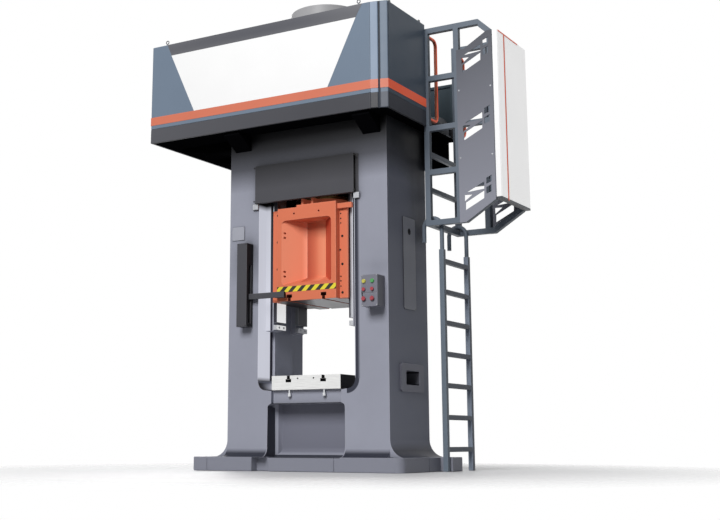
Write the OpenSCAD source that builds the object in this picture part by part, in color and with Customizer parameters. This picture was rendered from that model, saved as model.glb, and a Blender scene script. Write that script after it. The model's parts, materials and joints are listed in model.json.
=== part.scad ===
// Electric screw press: cast frame, guided slide, direct drive on top, walkway, ladder and cage.
// Millimetres. Origin on the floor under the middle of the frame, +X to the right, +Y to the back, +Z up.

/* [Frame] */
// Width of the cast frame across both columns
frame_w = 1810; // [1700:10:2000]
// Depth of the cast frame
frame_d = 830; // [760:10:920]
// Height of the frame's top face
frame_h = 3440; // [3200:10:3800]
// How far the base plinth reaches past each column
foot_side = 170; // [140:2:190]
// How far the base plinth reaches past the frame's front and back
foot_front = 98; // [80:2:120]
// Height of the base plinth
base_h = 132; // [110:1:160]
// How far the plinth's front left lug reaches out
lug_reach = 165; // [120:5:220]
// Width of the window between the columns
window_w = 1090; // [980:5:1200]
// Height of the bed, the lower edge of the window
bed_h = 766; // [700:2:840]
// Height of the beam above the window
beam_h = 440; // [400:5:500]
// Radius of the window's corners
window_r = 90; // [60:5:110]
// How far the bed's pocket keeps inside the window's sides
pocket_in = 113; // [90:1:140]
// How far the pocket's upper edge lies below the bed
pocket_drop = 129; // [100:1:160]
// Depth of the pocket in the bed's front
pocket_depth = 190; // [150:5:220]

/* [Guides] */
// How far the running faces of the rails stand inside the window's sides
guide_in = 134; // [120:1:150]
// Thickness of a rail
rail_t = 41; // [36:1:46]
// Depth of a rail, front to back
rail_d = 168; // [150:1:185]
// Gap between front and rear rails, for the slide's tongue
tongue_gap = 240; // [210:2:270]

/* [Bolster] */
// How far the bolster plate keeps inside the rails on each side
bolster_in = 25; // [10:1:40]
// Thickness of the bolster plate
bolster_h = 137; // [120:1:155]
// Distance between the two T-slots
slot_pitch = 390; // [340:2:440]
// Width of a T-slot's neck
slot_neck = 32; // [26:1:36]
// Width of a T-slot's head
slot_head = 62; // [54:1:70]

/* [Slide] */
// Height of the slide's main block
slide_h = 930; // [860:2:1000]
// Width of the wing on each side of the slide's front block
wing_w = 76; // [66:1:86]
// How far the slide's face lies behind the frame's face
slide_set = 10; // [8:1:12]
// Width of the rim beside the sloped pocket in the slide's face
dish_rim = 50; // [42:1:58]
// Wall left between the nut and the sloped pocket
dish_wall = 35; // [30:1:60]
// Travel of the slide above its rest height
travel_up = 280; // [240:5:320]
// Travel of the slide below its rest height
travel_down = 220; // [190:5:250]

/* [Screw drive] */
// Diameter of the main screw
screw_d = 220; // [190:2:250]
// Wall of the nut around the screw
nut_wall = 60; // [50:1:70]
// Wall of the boss around the nut
boss_wall = 60; // [52:1:70]
// Diameter of the motor's rotor
rotor_d = 460; // [400:10:520]
// Outer diameter of the motor housing
motor_d = 800; // [720:5:860]
// How far the top cap's wall keeps inside the motor housing's
cap_in = 30; // [25:1:36]
// Height of the top cap
cap_h = 235; // [210:5:280]

/* [Walkway] */
// How far the walkway's underside lies below the frame's top
deck_drop = 87; // [75:1:100]
// Height of the parapet above the walkway's underside
parapet_h = 1057; // [900:1:1200]
// Height of the rear parapet above the walkway's underside
rear_h = 632; // [560:1:700]
// How far the walkway reaches in front of the frame
crown_front = 275; // [240:5:320]
// How far the walkway reaches behind the frame
crown_rear = 495; // [430:5:560]
// How far the walkway reaches left of the frame
crown_left = 845; // [720:5:960]
// How far the walkway reaches right of the frame
crown_right = 145; // [125:5:170]
// Thickness of a parapet panel
panel_t = 25; // [21:1:30]
// Height of the dark skirt along the walkway's edge
skirt_h = 152; // [130:1:175]

/* [Ladder and cage] */
// Size of the cage's square tube
tube = 56; // [48:1:62]
// How far the cage hangs below the walkway's underside
cage_drop = 1009; // [880:1:1150]
// How far the cage rises above the walkway's underside
cage_rise = 1013; // [880:1:1150]
// Distance from the inner post to the middle post
cage_mid = 334; // [300:2:370]
// Distance from the inner post to the outer post
cage_out = 690; // [620:5:780]
// Thickness of the outer panel
screen_t = 60; // [52:1:68]
// Distance between the entry's two posts
entry_w = 690; // [620:2:760]
// Distance between the ladder's rungs
rung_pitch = 300; // [260:5:330]
// Height of the lowest rung's top
rung_first = 225; // [190:5:260]

/* [Controls] */
// Width of the control box
control_w = 170; // [150:2:190]
// Height of the control box
control_h = 296; // [260:2:340]
// Depth of the control box
control_d = 150; // [130:2:175]
// Width of the position sensor's housing
sensor_w = 120; // [106:2:134]
// Depth of the position sensor's housing
sensor_d = 115; // [104:1:130]

/* [Hidden] */
// Fits and overruns
over = 1;
bite = 2;
slip = 0.3;
fit = 0.05;
$fn = 64;

// Heights and widths that follow the frame
base_w = frame_w + 2 * foot_side;
base_d = frame_d + 2 * foot_front;
window_top = frame_h - beam_h;
window_h = window_top - bed_h;
column_w = (frame_w - window_w) / 2;
pocket_w = window_w - 2 * pocket_in;
pocket_top = bed_h - pocket_drop;
guide_gap = window_w - 2 * guide_in;
bolster_w = guide_gap - 2 * bolster_in;
nut_d = screw_d + 2 * nut_wall;
boss_d = nut_d + 2 * boss_wall;
deck_z = frame_h - deck_drop;
parapet_top = deck_z + parapet_h;
rear_top = deck_z + rear_h;
cage_bottom = deck_z - cage_drop;
cage_top = deck_z + cage_rise;

// Frame
flare_land = 5;
side_flare = foot_side - flare_land;
front_flare = foot_front - flare_land;
foot_r = 80;
foot_inner_r = 45;
lug_d = 427;
rear_lug_reach = 125;
rear_lug_gap = 13;
seam_y = 40;
seam_t = 6;
front_seam_share = 0.168;
notch_shares = [-0.255, -0.166];
notch_depth = 200;
pad_t = 33;
pad_d = 330;
seat_back = 10;
pocket_r = 40;
pocket_chamfer = 55;
relief_depth = 45;
relief_w = bolster_w + 2 * flare_land;
anchor_r = 30;
anchor_in_x = 55;
anchor_in_y = 48;
anchor_x = base_w / 2 - anchor_in_x;
anchor_y = base_d / 2 - anchor_in_y;
port_w = 477;
port_h = 265;
port_y = 28;
port_rise = 102;
port_z = bed_h + port_rise;
port_proud = 20;
port_r = 30;
port_hole_w = 279;
port_hole_h = 131;
port_depth = 150;

// Rails and their keepers
rail_len_share = 0.6916;
rail_top = window_top - seat_back - flare_land;
rail_bottom = rail_top - rail_len_share * window_h;
keeper_h = 48;
keeper_gap = 26;
keeper_z = rail_bottom - keeper_gap - keeper_h;
seat_bottom = keeper_z - seat_back;
rail_x = guide_gap / 2;
rail_y = tongue_gap / 2;

// T-slots and bolster
slot_neck_h = 34;
slot_head_h = 31;
bolster_inset = 2;
bolster_d = frame_d - 2 * bolster_inset;
tap_r = 9;
tap_depth = 40;
tap_pitch = 178;
tap_drop = 30;
clamp_stem_r = 10;
clamp_head_r = 18;
clamp_len = 62;
clamp_head_h = 28;
clamp_back = 23;

// Slide
slide_w = guide_gap - 2 * wing_w;
slide_d = frame_d - 2 * slide_set;
dish_w = slide_w - 2 * dish_rim;
dish_depth = (slide_d - nut_d) / 2 - dish_wall;
boss_h = 100;
nut_lip = 45;
nut_flange_d = nut_d + 2 * nut_lip;
nut_flange_h = 35;
head_room = 30;
slide_top = window_top - head_room - travel_up - nut_flange_h - boss_h;
slide_z = slide_top - slide_h;
wing_over = 22;
wing_d = tongue_gap + 2 * rail_d + 2 * wing_over;
gib_t = 12;
gib_margin = 24;
wing_x = rail_x - gib_t - slip;
tongue_clear = 4;
tongue_x = rail_x + rail_t - tongue_clear;
tongue_d = tongue_gap - 2 * slip;
dish_floor_share = 0.379;
dish_floor_w = dish_floor_share * dish_w;
dish_low = 158;
dish_high = 125;
dish_rise = 87;
dish_r = 45;
crest_h = 20;
crest_left = 115;
boss_top = slide_top + boss_h;
bore_room = 15;
bore_r = screw_d / 2 + bore_room;
nut_seat = 225;
screw_tip_drop = 180;
tip_room = 40;
bore_floor = slide_h - nut_seat - screw_tip_drop - travel_up - tip_room;
rib_t = 25;
rib_pitch = 114;
rib_h = 82;
rib_front = 15;
dowel_r = 11;
dowel_depth = 65;
dowel_in = 20;
dowel_x = dish_w / 2 - dowel_in;
dowel_high_shares = [0.733, 0.685];
dowel_low_shares = [0.318, 0.268];
eye_hole_share = 0.424;
eye_hole_pitch = eye_hole_share * slide_w;
eye_hole_drop = 62;
wing_plate_t = 29;
wing_plate_lap = 18;
wing_plate_gap = 2;
wing_plate_margin = 4;
bar_t = 35;
bar_h = 52;
bar_reach = 80;
bar_drop = 3;
strip_t = 2;
strip_low = 91;
strip_h = 54;

// Screw, bearings and drive
bush_wall = 40;
bush_lip = 50;
bush_r = screw_d / 2 + bush_wall;
bush_flange_r = bush_r + bush_lip;
bush_flange_h = 25;
bush_gap = 10;
well_room = 130;
well_r = screw_d / 2 + well_room;
well_depth = 190;
collar_lip = 85;
collar_r = screw_d / 2 + collar_lip;
collar_h = 70;
thrust_r = well_r - flare_land;
thrust_h = 55;
cap_flange_h = 35;
shaft_r = 80;
wheel_gap = 45;
wheel_h = 160;
wheel_hub = 16;
wheel_rim_share = 0.8;
wheel_room = 25;
wheel_web_depth = 40;
rotor_gap = 80;
rotor_head_gap = 80;
air_gap = 2;
motor_wall = 25;
motor_bore_r = motor_d / 2 - motor_wall;
flywheel_d = 2 * (motor_bore_r - wheel_room);
cap_flange_share = 0.593;
cap_flange_r = well_r + cap_flange_share * (motor_bore_r - well_r);
cap_d = motor_d - 2 * cap_in;
motor_h = 940;
motor_lip = 12;
motor_flange_r = motor_d / 2 + motor_lip;
motor_flange_h = 30;
fin_t = 12;
fin_h = 10;
fin_count = 20;
fin_margin = 60;
shield_h = 30;
hub_r = 200;
hub_h = 80;
rotor_foot = cap_flange_h + wheel_gap + wheel_h + rotor_gap;
rotor_h = motor_h - rotor_foot - hub_h + shield_h - rotor_head_gap;
bearing_r = 160;
bearing_h = 50;
disc_r = 220;
disc_h = 25;
disc_gap = 50;
caliper_w = 120;
caliper_d = 90;
caliper_jaw = 28;
cap_wall = 10;
cap_lip = 14;
cap_lip_h = 22;

// Walkway and parapet
deck_t = 22;
deck_gap = 3;
corner_run = 167;
corner_drop = 45;
seam_w = 20;
seam_depth = 8;
skin_t = 4;
bay_pitch = 700;
bay_rib = 30;
stripe_t = 2.5;
stripe_lift = 40;
stripe_z = deck_z + skirt_h + stripe_lift;
stripe_h = 87;
sign_t = 2.5;
header_h = 130;
sign_top = parapet_top - header_h;
sign_top_shares = [0.0961, 0.9419];
sign_low_shares = [0.2138, 0.8219];
bracket_w = 190;
bracket_in = 160;
bracket_x = frame_w / 2 - bracket_in;
bracket_front_h = 163;
bracket_rear_h = 390;
bracket_rear_tip_h = 285;
bracket_tip_h = 30;
bracket_margin = 50;
rear_bracket_in = 25;
rear_bracket_x = frame_w / 2 - rear_bracket_in;
side_margin = 150;
side_bracket_w = 60;
side_bracket_y = 300;
eye_r = 17;
eye_wire_r = 5;
eye_stem_h = 12;
eye_shares = [0.0706, 0.9525];
lug_w = 34;
lug_t = 10;
lug_h = 20;
lug_shares = [0.05, 0.84];

crown_x0 = -frame_w / 2 - crown_left;
crown_x1 = frame_w / 2 + crown_right;
crown_y0 = -frame_d / 2 - crown_front;
crown_y1 = frame_d / 2 + crown_rear;
corner_x = crown_x1 - corner_run;
corner_y = crown_y0 + corner_drop;
panel_z = deck_z + skirt_h;

// Entry, cage and ladder
entry_proud = 3;
post_y1 = crown_y1 + entry_proud - tube;
post_y0 = post_y1 - entry_w;
post_x = crown_x1;
post_face = post_x - tube / 2;
cage_x1 = post_x + cage_out + tube / 2;
knee_run = 408;
knee_x = post_x + knee_run;
knee_rise = 194;
top_run = 143;
top_drop = 136;
rail_shares = [0.25, 0.47, 0.724];
plate_t = 6;
plate_x = post_x + cage_mid + flare_land;
plate_top = 285;
brow_x = 81;
brow_run = 249;
brow_rise = 147;
group_share = 0.34125;
group_pitch = group_share * (cage_top - cage_bottom);
group_low = 117;
low_cut_shares = [[0.171, 0], [0.678, 0.141], [0.685, 0.249], [0.176, 0.106]];
wedge_cut_shares = [[0.151, 0.125], [0.36, 0.21], [0.151, 0.214]];
high_cut_shares = [[0.213, 0.251], [0.685, 0.274], [0.69, 0.375]];
lozenge_low_shares = [[0.745, 0.201], [0.889, 0.225], [0.889, 0.325], [0.745, 0.29]];
lozenge_high_shares = [[0.747, 0.339], [0.898, 0.367], [0.9, 0.459], [0.752, 0.425]];
cut_shares = [
    low_cut_shares, wedge_cut_shares, high_cut_shares, lozenge_low_shares, lozenge_high_shares
];
screen_z0 = cage_bottom + knee_rise + flare_land;
screen_z1 = cage_top - top_drop - seat_back;
screen_r = 12;
trim_t = 2;
trim_w = 28;
trim_top_w = 14;
trim_y_share = 0.2;
trim_run_share = 0.7;
cross_w = 45;
cross_shares = [0.172, 0.351];
ladder_out = 105;
ladder_in = 26;
ladder_w = entry_w - tube - 2 * ladder_in;
ladder_x = post_x + ladder_out;
ladder_y = post_y0 + tube + ladder_in;
stile_w = 50;
stile_wall = 3;
stile_gap = 229;
stile_h = cage_bottom - stile_gap;
rear_lug_y = ladder_y + stile_w / 2 + rear_lug_gap;
stile_cap = 10;
rung_count = floor((stile_h - rung_first) / rung_pitch) + 1;
rung_w = 45;
hook_r = 21;
hook_turn = 95;
hook_tail = 140;
hook_sleeve = 200;
hook_x = ladder_x - hook_turn;
hook_reach = hook_x - post_face;
hook_z = cage_bottom + tube + slip - sqrt(pow(hook_turn - hook_r, 2) - pow(hook_reach, 2));
grip_r = 18;
grip_bend = 60;
grip_reach = 187;
grip_rise = 87;
grip_drop = 110;
grip_z0 = deck_z + grip_rise;
grip_z1 = parapet_top - grip_drop;
pipe_r = 55;
pipe_flange_r = 74;
pipe_flange_h = 18;
pipe_bend = 95;
pipe_rise = 100;
pipe_run = 70;
pipe_in_x = 105;
pipe_in_y = 60;
pipe_x = crown_x1 - pipe_in_x;
pipe_y = post_y1 - pipe_in_y;

// Covers and fittings on the frame
cover_lap = 23;
cover_w = window_w + 2 * cover_lap;
cover_d = 50;
cover_wall = 6;
cover_flange = 28;
cover_slot_margin = 8;
cover_drop = 374;
cover_low = window_top - cover_drop;
cover_high = window_top + seat_back;
rest_w = 62;
rest_h = 58;
rest_t = 25;
rest_in = 5;
side_cover_w = 257;
side_cover_low_share = 0.3366;
side_cover_z0 = bed_h + side_cover_low_share * window_h;
side_cover_share = 0.4006;
side_cover_h = side_cover_share * window_h;
side_cover_y = 22;
side_cover_t = 8;
side_cover_r = 20;
side_cover_hole_r = 20;
side_cover_hole_drop = 136;
plaque_in = 34;
plaque_x = plaque_in - frame_w / 2;
plaque_w = 147;
plaque_h = 137;
plaque_t = 8;

// Sensor and controls
sensor_column_share = 0.5278;
sensor_x = -window_w / 2 - sensor_column_share * column_w;
sensor_low = 17;
sensor_z = slide_z - travel_down - sensor_low;
sensor_over = 334;
sensor_h = travel_up + travel_down + sensor_over;
plaque_gap = 54;
plaque_z = sensor_z + sensor_h + plaque_gap;
arm_t = 30;
arm_h = 54;
arm_lift = 35;
arm_z = slide_z + arm_lift;
arm_stand = 40;
arm_end_in = 129;
arm_end = slide_w / 2 - arm_end_in;
arm_foot_w = 103;
arm_foot_end = slide_w / 2 - arm_foot_w;
arm_entry = 30;
arm_room = 7;
arm_slot = 50;
control_column_share = 0.4306;
control_x = window_w / 2 + control_column_share * column_w;
control_share = 0.3303;
control_z = bed_h + control_share * window_h;
control_r = 10;
groove_h = 12;
groove_depth = 6;
groove_margin = 8;
groove_share = 0.395;
column_shares = [0.17, 0.69];
lamp_row_share = 0.795;
press_row_share = 0.54;
stop_row_share = 0.24;
lamp_r = 17;
lamp_h = 10;
bezel_r = 20;
bezel_h = 5;
stem_r = 11;
stem_len = 34;
stem_well = 44;
press_r = 17;
press_h = 8;
press_gap = 8;
stop_r = 22;
stop_h = 14;

// Shared shapes
module block(low, high) {
    translate(low) cube(high - low);
}

module extrude_y(depth) {
    translate([0, depth / 2, 0]) rotate([90, 0, 0]) linear_extrude(depth) children();
}

module extrude_x(width) {
    translate([-width / 2, 0, 0]) rotate([90, 0, 90]) linear_extrude(width) children();
}

module both_sides() {
    children();
    mirror([1, 0, 0]) children();
}

module front_and_rear() {
    children();
    mirror([0, 1, 0]) children();
}

module round_rect(low, high, r) {
    translate([low.x + r, low.y]) square([high.x - low.x - 2 * r, high.y - low.y]);
    translate([low.x, low.y + r]) square([high.x - low.x, high.y - low.y - 2 * r]);
    for (x = [low.x + r, high.x - r], y = [low.y + r, high.y - r]) translate([x, y]) circle(r);
}

module cove(r) {
    difference() {
        square(r);
        translate([r, r]) circle(r);
    }
}

module ring(outer_r, inner_r, z, h) {
    translate([0, 0, z]) difference() {
        cylinder(r = outer_r, h = h);
        translate([0, 0, -over]) cylinder(r = inner_r, h = h + 2 * over);
    }
}

function scaled(shares, w, h) = [for (s = shares) [s.x * w, s.y * h]];

function along_front(share) = crown_x0 + share * (corner_x - crown_x0);

// A T-slot's section, hanging below the face it opens through
module t_slot() {
    translate([-slot_head / 2, -slot_neck_h - slot_head_h]) square([slot_head, slot_head_h]);
    translate([-slot_neck / 2, -slot_neck_h - over]) square([slot_neck, slot_neck_h + 2 * over]);
}

// Frame
module frame_front_outline() {
    translate([-frame_w / 2, 0]) square([frame_w, frame_h]);
    both_sides() translate([frame_w / 2, base_h]) cove(side_flare);
}

module frame_side_outline() {
    translate([-frame_d / 2, 0]) square([frame_d, frame_h]);
    both_sides() translate([frame_d / 2, base_h]) cove(front_flare);
}

module frame_block() {
    extrude_y(frame_d) frame_front_outline();
    extrude_x(frame_w) frame_side_outline();
}

module plinth_outline() {
    difference() {
        union() {
            round_rect([-base_w / 2, -base_d / 2], [base_w / 2, base_d / 2], foot_r);
            translate([-base_w / 2 - lug_reach, -base_d / 2]) square([lug_reach + foot_r, lug_d]);
            translate([base_w / 2 - foot_r, rear_lug_y])
                square([rear_lug_reach + foot_r, base_d / 2 - rear_lug_y]);
        }
        for (a = [0, 180]) rotate(a)
            round_rect(
                [notch_shares[0] * base_w, -base_d / 2 - notch_depth],
                [notch_shares[1] * base_w, -base_d / 2 + notch_depth],
                foot_inner_r
            );
        translate([base_w / 2 - seam_t, seam_y]) square([seam_t + over, seam_t]);
        translate([-base_w / 2 - seam_t, -base_d / 2 - over]) square([seam_t, seam_t + over]);
        translate([front_seam_share * base_w, -base_d / 2 - over]) square([seam_t, seam_t + over]);
    }
}

module bed_pocket() {
    front = -frame_d / 2 - front_flare - over;
    back = -frame_d / 2 + pocket_depth;
    half = pocket_w / 2;
    intersection() {
        extrude_y(base_d)
            round_rect([-half, base_h - pocket_r], [half, pocket_top], pocket_r);
        translate([0, 0, base_h]) linear_extrude(pocket_top)
            polygon([
                [-half, front], [half, front], [half, back - pocket_chamfer],
                [half - pocket_chamfer, back], [pocket_chamfer - half, back], [-half, back - pocket_chamfer]
            ]);
    }
}

module port_pad() {
    z0 = port_z - port_h / 2;
    translate([frame_w / 2 + port_proud / 2, 0, 0]) extrude_x(port_proud + bite)
        round_rect([port_y - port_w / 2, z0], [port_y + port_w / 2, z0 + port_h], port_r);
}

module port_hole() {
    z0 = port_z - port_hole_h / 2;
    translate([frame_w / 2 + port_proud, 0, 0]) extrude_x(2 * port_depth)
        round_rect([port_y - port_hole_w / 2, z0], [port_y + port_hole_w / 2, z0 + port_hole_h], port_r / 2);
}

module rail_seat() {
    block(
        [rail_x + rail_t, rail_y + seat_back, seat_bottom],
        [window_w / 2 + bite, rail_y + rail_d, window_top + bite]
    );
}

module wall_pad() {
    block(
        [window_w / 2 - pad_t, -pad_d / 2, bed_h - bite],
        [window_w / 2 + bite, pad_d / 2, window_top + bite]
    );
}

module frame_body() color([0.56, 0.57, 0.63]) {
    difference() {
        union() {
            difference() {
                union() {
                    frame_block();
                    linear_extrude(base_h) plinth_outline();
                }
                extrude_y(base_d + 2 * over)
                    round_rect([-window_w / 2, bed_h], [window_w / 2, window_top], window_r);
                front_and_rear() bed_pocket();
                front_and_rear() block(
                    [-relief_w / 2, -frame_d / 2 - over, pocket_top - over],
                    [relief_w / 2, -frame_d / 2 + relief_depth, bed_h + over]
                );
            }
            both_sides() wall_pad();
            both_sides() front_and_rear() rail_seat();
            both_sides() port_pad();
            front_and_rear() translate([0, -frame_d / 2 + pocket_depth, base_h])
                mirror([0, 1, 0]) extrude_x(pocket_w) cove(front_flare);
        }
        both_sides() port_hole();
        translate([0, 0, window_top - bite - over]) cylinder(r = bush_r, h = frame_h);
        translate([0, 0, frame_h - well_depth]) cylinder(r = well_r, h = frame_h);
        for (x = [-anchor_x, anchor_x], y = [-anchor_y, anchor_y])
            translate([x, y, -over]) cylinder(r = anchor_r, h = base_h + side_flare);
    }
}

module bolster_plate() color([0.86, 0.86, 0.85]) {
    top = bed_h + bolster_h;
    difference() {
        block([-bolster_w / 2, -bolster_d / 2, bed_h], [bolster_w / 2, bolster_d / 2, top]);
        for (x = [-slot_pitch / 2, slot_pitch / 2])
            translate([x, 0, top]) extrude_y(bolster_d + 2 * over) t_slot();
        for (x = [-tap_pitch / 2, tap_pitch / 2]) front_and_rear()
            translate([x, -bolster_d / 2 - over, top - tap_drop]) rotate([-90, 0, 0])
                cylinder(r = tap_r, h = tap_depth);
    }
}

module bolster_screws() color([0.75, 0.76, 0.78]) {
    for (x = [-slot_pitch / 2, slot_pitch / 2])
        translate([x, -bolster_d / 2 + clamp_back, bed_h - clamp_len]) {
            cylinder(r = clamp_stem_r, h = clamp_len);
            cylinder(r = clamp_head_r, h = clamp_head_h);
        }
}

// Rails
module rail_bar(z0, z1) {
    block([rail_x, -rail_y - rail_d, z0], [rail_x + rail_t, -rail_y, z1]);
}

module front_rails() color([0.74, 0.75, 0.77]) both_sides() rail_bar(rail_bottom, rail_top);

module rear_rails() color([0.74, 0.75, 0.77]) mirror([0, 1, 0]) both_sides() rail_bar(rail_bottom, rail_top);

module rail_keepers() color([0.82, 0.82, 0.83])
    front_and_rear() both_sides() rail_bar(keeper_z, keeper_z + keeper_h);

// Covers and fittings on the frame
module window_cover() {
    y1 = -frame_d / 2;
    y0 = y1 - cover_d;
    half = cover_w / 2;
    difference() {
        union() {
            block([-half, y0, cover_low], [half, y1, cover_high]);
            block(
                [-half - cover_flange, y1 - cover_wall, cover_low],
                [half + cover_flange, y1, cover_high]
            );
        }
        block(
            [-half - over, y0 + cover_wall, cover_low + cover_slot_margin],
            [half + over, y1 - 2 * cover_wall, cover_high - cover_slot_margin]
        );
        block(
            [cover_wall - half, y0 + cover_wall, cover_low + cover_wall],
            [half - cover_wall, y1 + over, cover_high - cover_wall]
        );
    }
}

module front_cover() color([0.34, 0.34, 0.36]) window_cover();

module rear_cover() color([0.34, 0.34, 0.36]) mirror([0, 1, 0]) window_cover();

module cover_rests() color([0.84, 0.84, 0.86]) front_and_rear() both_sides() block(
    [window_w / 2 + rest_in, -frame_d / 2 - rest_t, cover_low - rest_h],
    [window_w / 2 + rest_in + rest_w, -frame_d / 2, cover_low]
);

module side_cover() color([0.36, 0.38, 0.42]) {
    z1 = side_cover_z0 + side_cover_h;
    translate([frame_w / 2 + side_cover_t / 2, 0, 0]) extrude_x(side_cover_t) difference() {
        round_rect(
            [side_cover_y - side_cover_w / 2, side_cover_z0],
            [side_cover_y + side_cover_w / 2, z1],
            side_cover_r
        );
        translate([side_cover_y, z1 - side_cover_hole_drop]) circle(side_cover_hole_r);
    }
}

module column_plaque() color([0.66, 0.67, 0.71]) block(
    [plaque_x, -frame_d / 2 - plaque_t, plaque_z], [plaque_x + plaque_w, -frame_d / 2, plaque_z + plaque_h]
);

// Position sensor
arm_y0 = -frame_d / 2 - arm_stand - arm_t;
arm_y1 = -frame_d / 2 - arm_stand;

module sensor_housing() color([0.3, 0.31, 0.33]) difference() {
    block(
        [sensor_x, -frame_d / 2 - sensor_d, sensor_z],
        [sensor_x + sensor_w, -frame_d / 2, sensor_z + sensor_h]
    );
    block(
        [sensor_x + sensor_w - arm_slot, arm_y0 - arm_room, arm_z - travel_down - 2 * arm_room],
        [sensor_x + sensor_w + over, arm_y1 + arm_room, arm_z + arm_h + travel_up + 2 * arm_room]
    );
}

module sensor_arm() color([0.33, 0.33, 0.35]) {
    block([sensor_x + sensor_w - arm_entry, arm_y0, arm_z], [-arm_end, arm_y1, arm_z + arm_h]);
    block([-slide_w / 2, arm_y1 - over, arm_z], [-arm_foot_end, -slide_d / 2, arm_z + arm_h]);
}

// Control box
control_y = -frame_d / 2 - control_d;

module at_control(column, row_share) {
    translate([control_x + column_shares[column] * control_w, control_y, control_z + row_share * control_h])
        rotate([90, 0, 0]) children();
}

module control_box() color([0.44, 0.45, 0.48]) difference() {
    translate([0, control_y + control_d / 2, 0]) extrude_y(control_d)
        round_rect([control_x, control_z], [control_x + control_w, control_z + control_h], control_r);
    block(
        [control_x + groove_margin, control_y - over, control_z + groove_share * control_h],
        [
            control_x + control_w - groove_margin, control_y + groove_depth,
            control_z + groove_share * control_h + groove_h
        ]
    );
    for (column = [0, 1], row = [press_row_share, stop_row_share])
        at_control(column, row) translate([0, 0, -stem_well])
            cylinder(r = stem_r + slip, h = stem_well + over);
}

module indicator_lamps() color([0.75, 0.72, 0.25]) for (column = [0, 1]) at_control(column, lamp_row_share) {
    cylinder(r = bezel_r, h = bezel_h);
    cylinder(r = lamp_r, h = bezel_h + lamp_h);
}

module press_button(column) color([0.62, 0.13, 0.16]) at_control(column, press_row_share) {
    translate([0, 0, press_gap]) cylinder(r = press_r, h = press_h);
    translate([0, 0, press_gap - stem_len]) cylinder(r = stem_r, h = stem_len);
}

module stop_button(column) color([0.72, 0.12, 0.16]) at_control(column, stop_row_share) {
    translate([0, 0, press_gap]) cylinder(r1 = stop_r - bezel_h, r2 = stop_r, h = stop_h / 2);
    translate([0, 0, press_gap + stop_h / 2]) cylinder(r1 = stop_r, r2 = stop_r - bezel_h, h = stop_h / 2);
    translate([0, 0, press_gap - stem_len]) cylinder(r = stem_r, h = stem_len);
}

module left_start_button() press_button(0);

module right_start_button() press_button(1);

module left_stop_button() stop_button(0);

module right_stop_button() stop_button(1);

// Walkway
module deck_plate() color([0.12, 0.12, 0.13]) translate([0, 0, deck_z]) linear_extrude(deck_t) difference() {
    polygon([
        [crown_x0 + panel_t, crown_y0 + panel_t], [corner_x, crown_y0 + panel_t],
        [crown_x1 - panel_t, corner_y + panel_t], [crown_x1 - panel_t, post_y0],
        [post_face, post_y0], [post_face, crown_y1 - panel_t], [crown_x0 + panel_t, crown_y1 - panel_t]
    ]);
    square([frame_w + 2 * deck_gap, frame_d + 2 * deck_gap], center = true);
}

// A gusset under the walkway, standing off the frame towards -Y
module gusset(width, reach, height, tip) {
    extrude_x(width) polygon([[0, 0], [-reach, 0], [-reach, -tip], [0, -height]]);
}

module deck_brackets() color([0.1, 0.1, 0.11]) translate([0, 0, deck_z]) {
    both_sides() translate([bracket_x, -frame_d / 2, 0])
        gusset(bracket_w, crown_front - bracket_margin, bracket_front_h, bracket_tip_h);
    both_sides() translate([rear_bracket_x, frame_d / 2, 0]) mirror([0, 1, 0])
        gusset(bracket_w, crown_rear - bracket_margin, bracket_rear_h, bracket_rear_tip_h);
    for (y = [-side_bracket_y, side_bracket_y]) translate([-frame_w / 2, y, 0]) rotate(-90)
        gusset(side_bracket_w, crown_left - side_margin, bracket_front_h, bracket_tip_h);
}

// One wall of the parapet between two corners of its plan
module wall(low, high, z0, z1) {
    block([low.x, low.y, z0], [high.x, high.y, z1]);
}

front_low = [crown_x0, crown_y0];
front_high = [corner_x, crown_y0 + panel_t];
right_low = [crown_x1 - panel_t, corner_y + panel_t];
right_high = [crown_x1, post_y0];
left_low = [crown_x0, crown_y0 + panel_t];
left_high = [crown_x0 + panel_t, crown_y1 - panel_t];
rear_low = [crown_x0, crown_y1 - panel_t];
rear_high = [post_face, crown_y1];

module deck_skirt() color([0.32, 0.32, 0.34]) {
    wall(front_low, front_high, deck_z, panel_z);
    wall(right_low, right_high, deck_z, panel_z);
    wall(left_low, left_high, deck_z, panel_z);
    wall(rear_low, rear_high, deck_z, panel_z);
}

// Hollow bays on a panel's inner side, the panel lying along +X with its skin at y = 0
module panel_bays(length, height) {
    count = max(1, round(length / bay_pitch));
    pitch = (length - bay_rib) / count;
    for (i = [0 : count - 1]) block(
        [bay_rib + i * pitch, skin_t, bay_rib], [i * pitch + pitch, panel_t + over, height - bay_rib]
    );
}

module panel(length, height) {
    difference() {
        block([0, 0, 0], [length, panel_t, height]);
        panel_bays(length, height);
    }
}

module front_panel() color([0.44, 0.5, 0.57]) translate([front_low.x, front_low.y, panel_z])
    panel(front_high.x - front_low.x, parapet_top - panel_z);

module right_panel() color([0.26, 0.3, 0.34]) translate([right_high.x, right_low.y, panel_z]) rotate(90)
    panel(right_high.y - right_low.y, parapet_top - panel_z);

module left_panel() color([0.44, 0.5, 0.57]) translate([left_low.x, left_high.y, panel_z]) rotate(-90)
    panel(left_high.y - left_low.y, parapet_top - panel_z);

module rear_panel() color([0.44, 0.5, 0.57]) translate([rear_high.x, rear_high.y, panel_z]) rotate(180)
    panel(rear_high.x - rear_low.x, rear_top - panel_z);

module corner_post() color([0.56, 0.62, 0.7]) difference() {
    translate([0, 0, deck_z]) linear_extrude(parapet_top - deck_z) polygon([
        [corner_x, crown_y0], [crown_x1, corner_y], [crown_x1, corner_y + panel_t],
        [crown_x1 - panel_t, corner_y + panel_t], [corner_x, crown_y0 + panel_t]
    ]);
    block(
        [corner_x + corner_run / 2 - seam_w / 2, crown_y0 - over, deck_z - over],
        [corner_x + corner_run / 2 + seam_w / 2, crown_y0 + corner_drop / 2 + seam_depth, parapet_top + over]
    );
}

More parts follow.
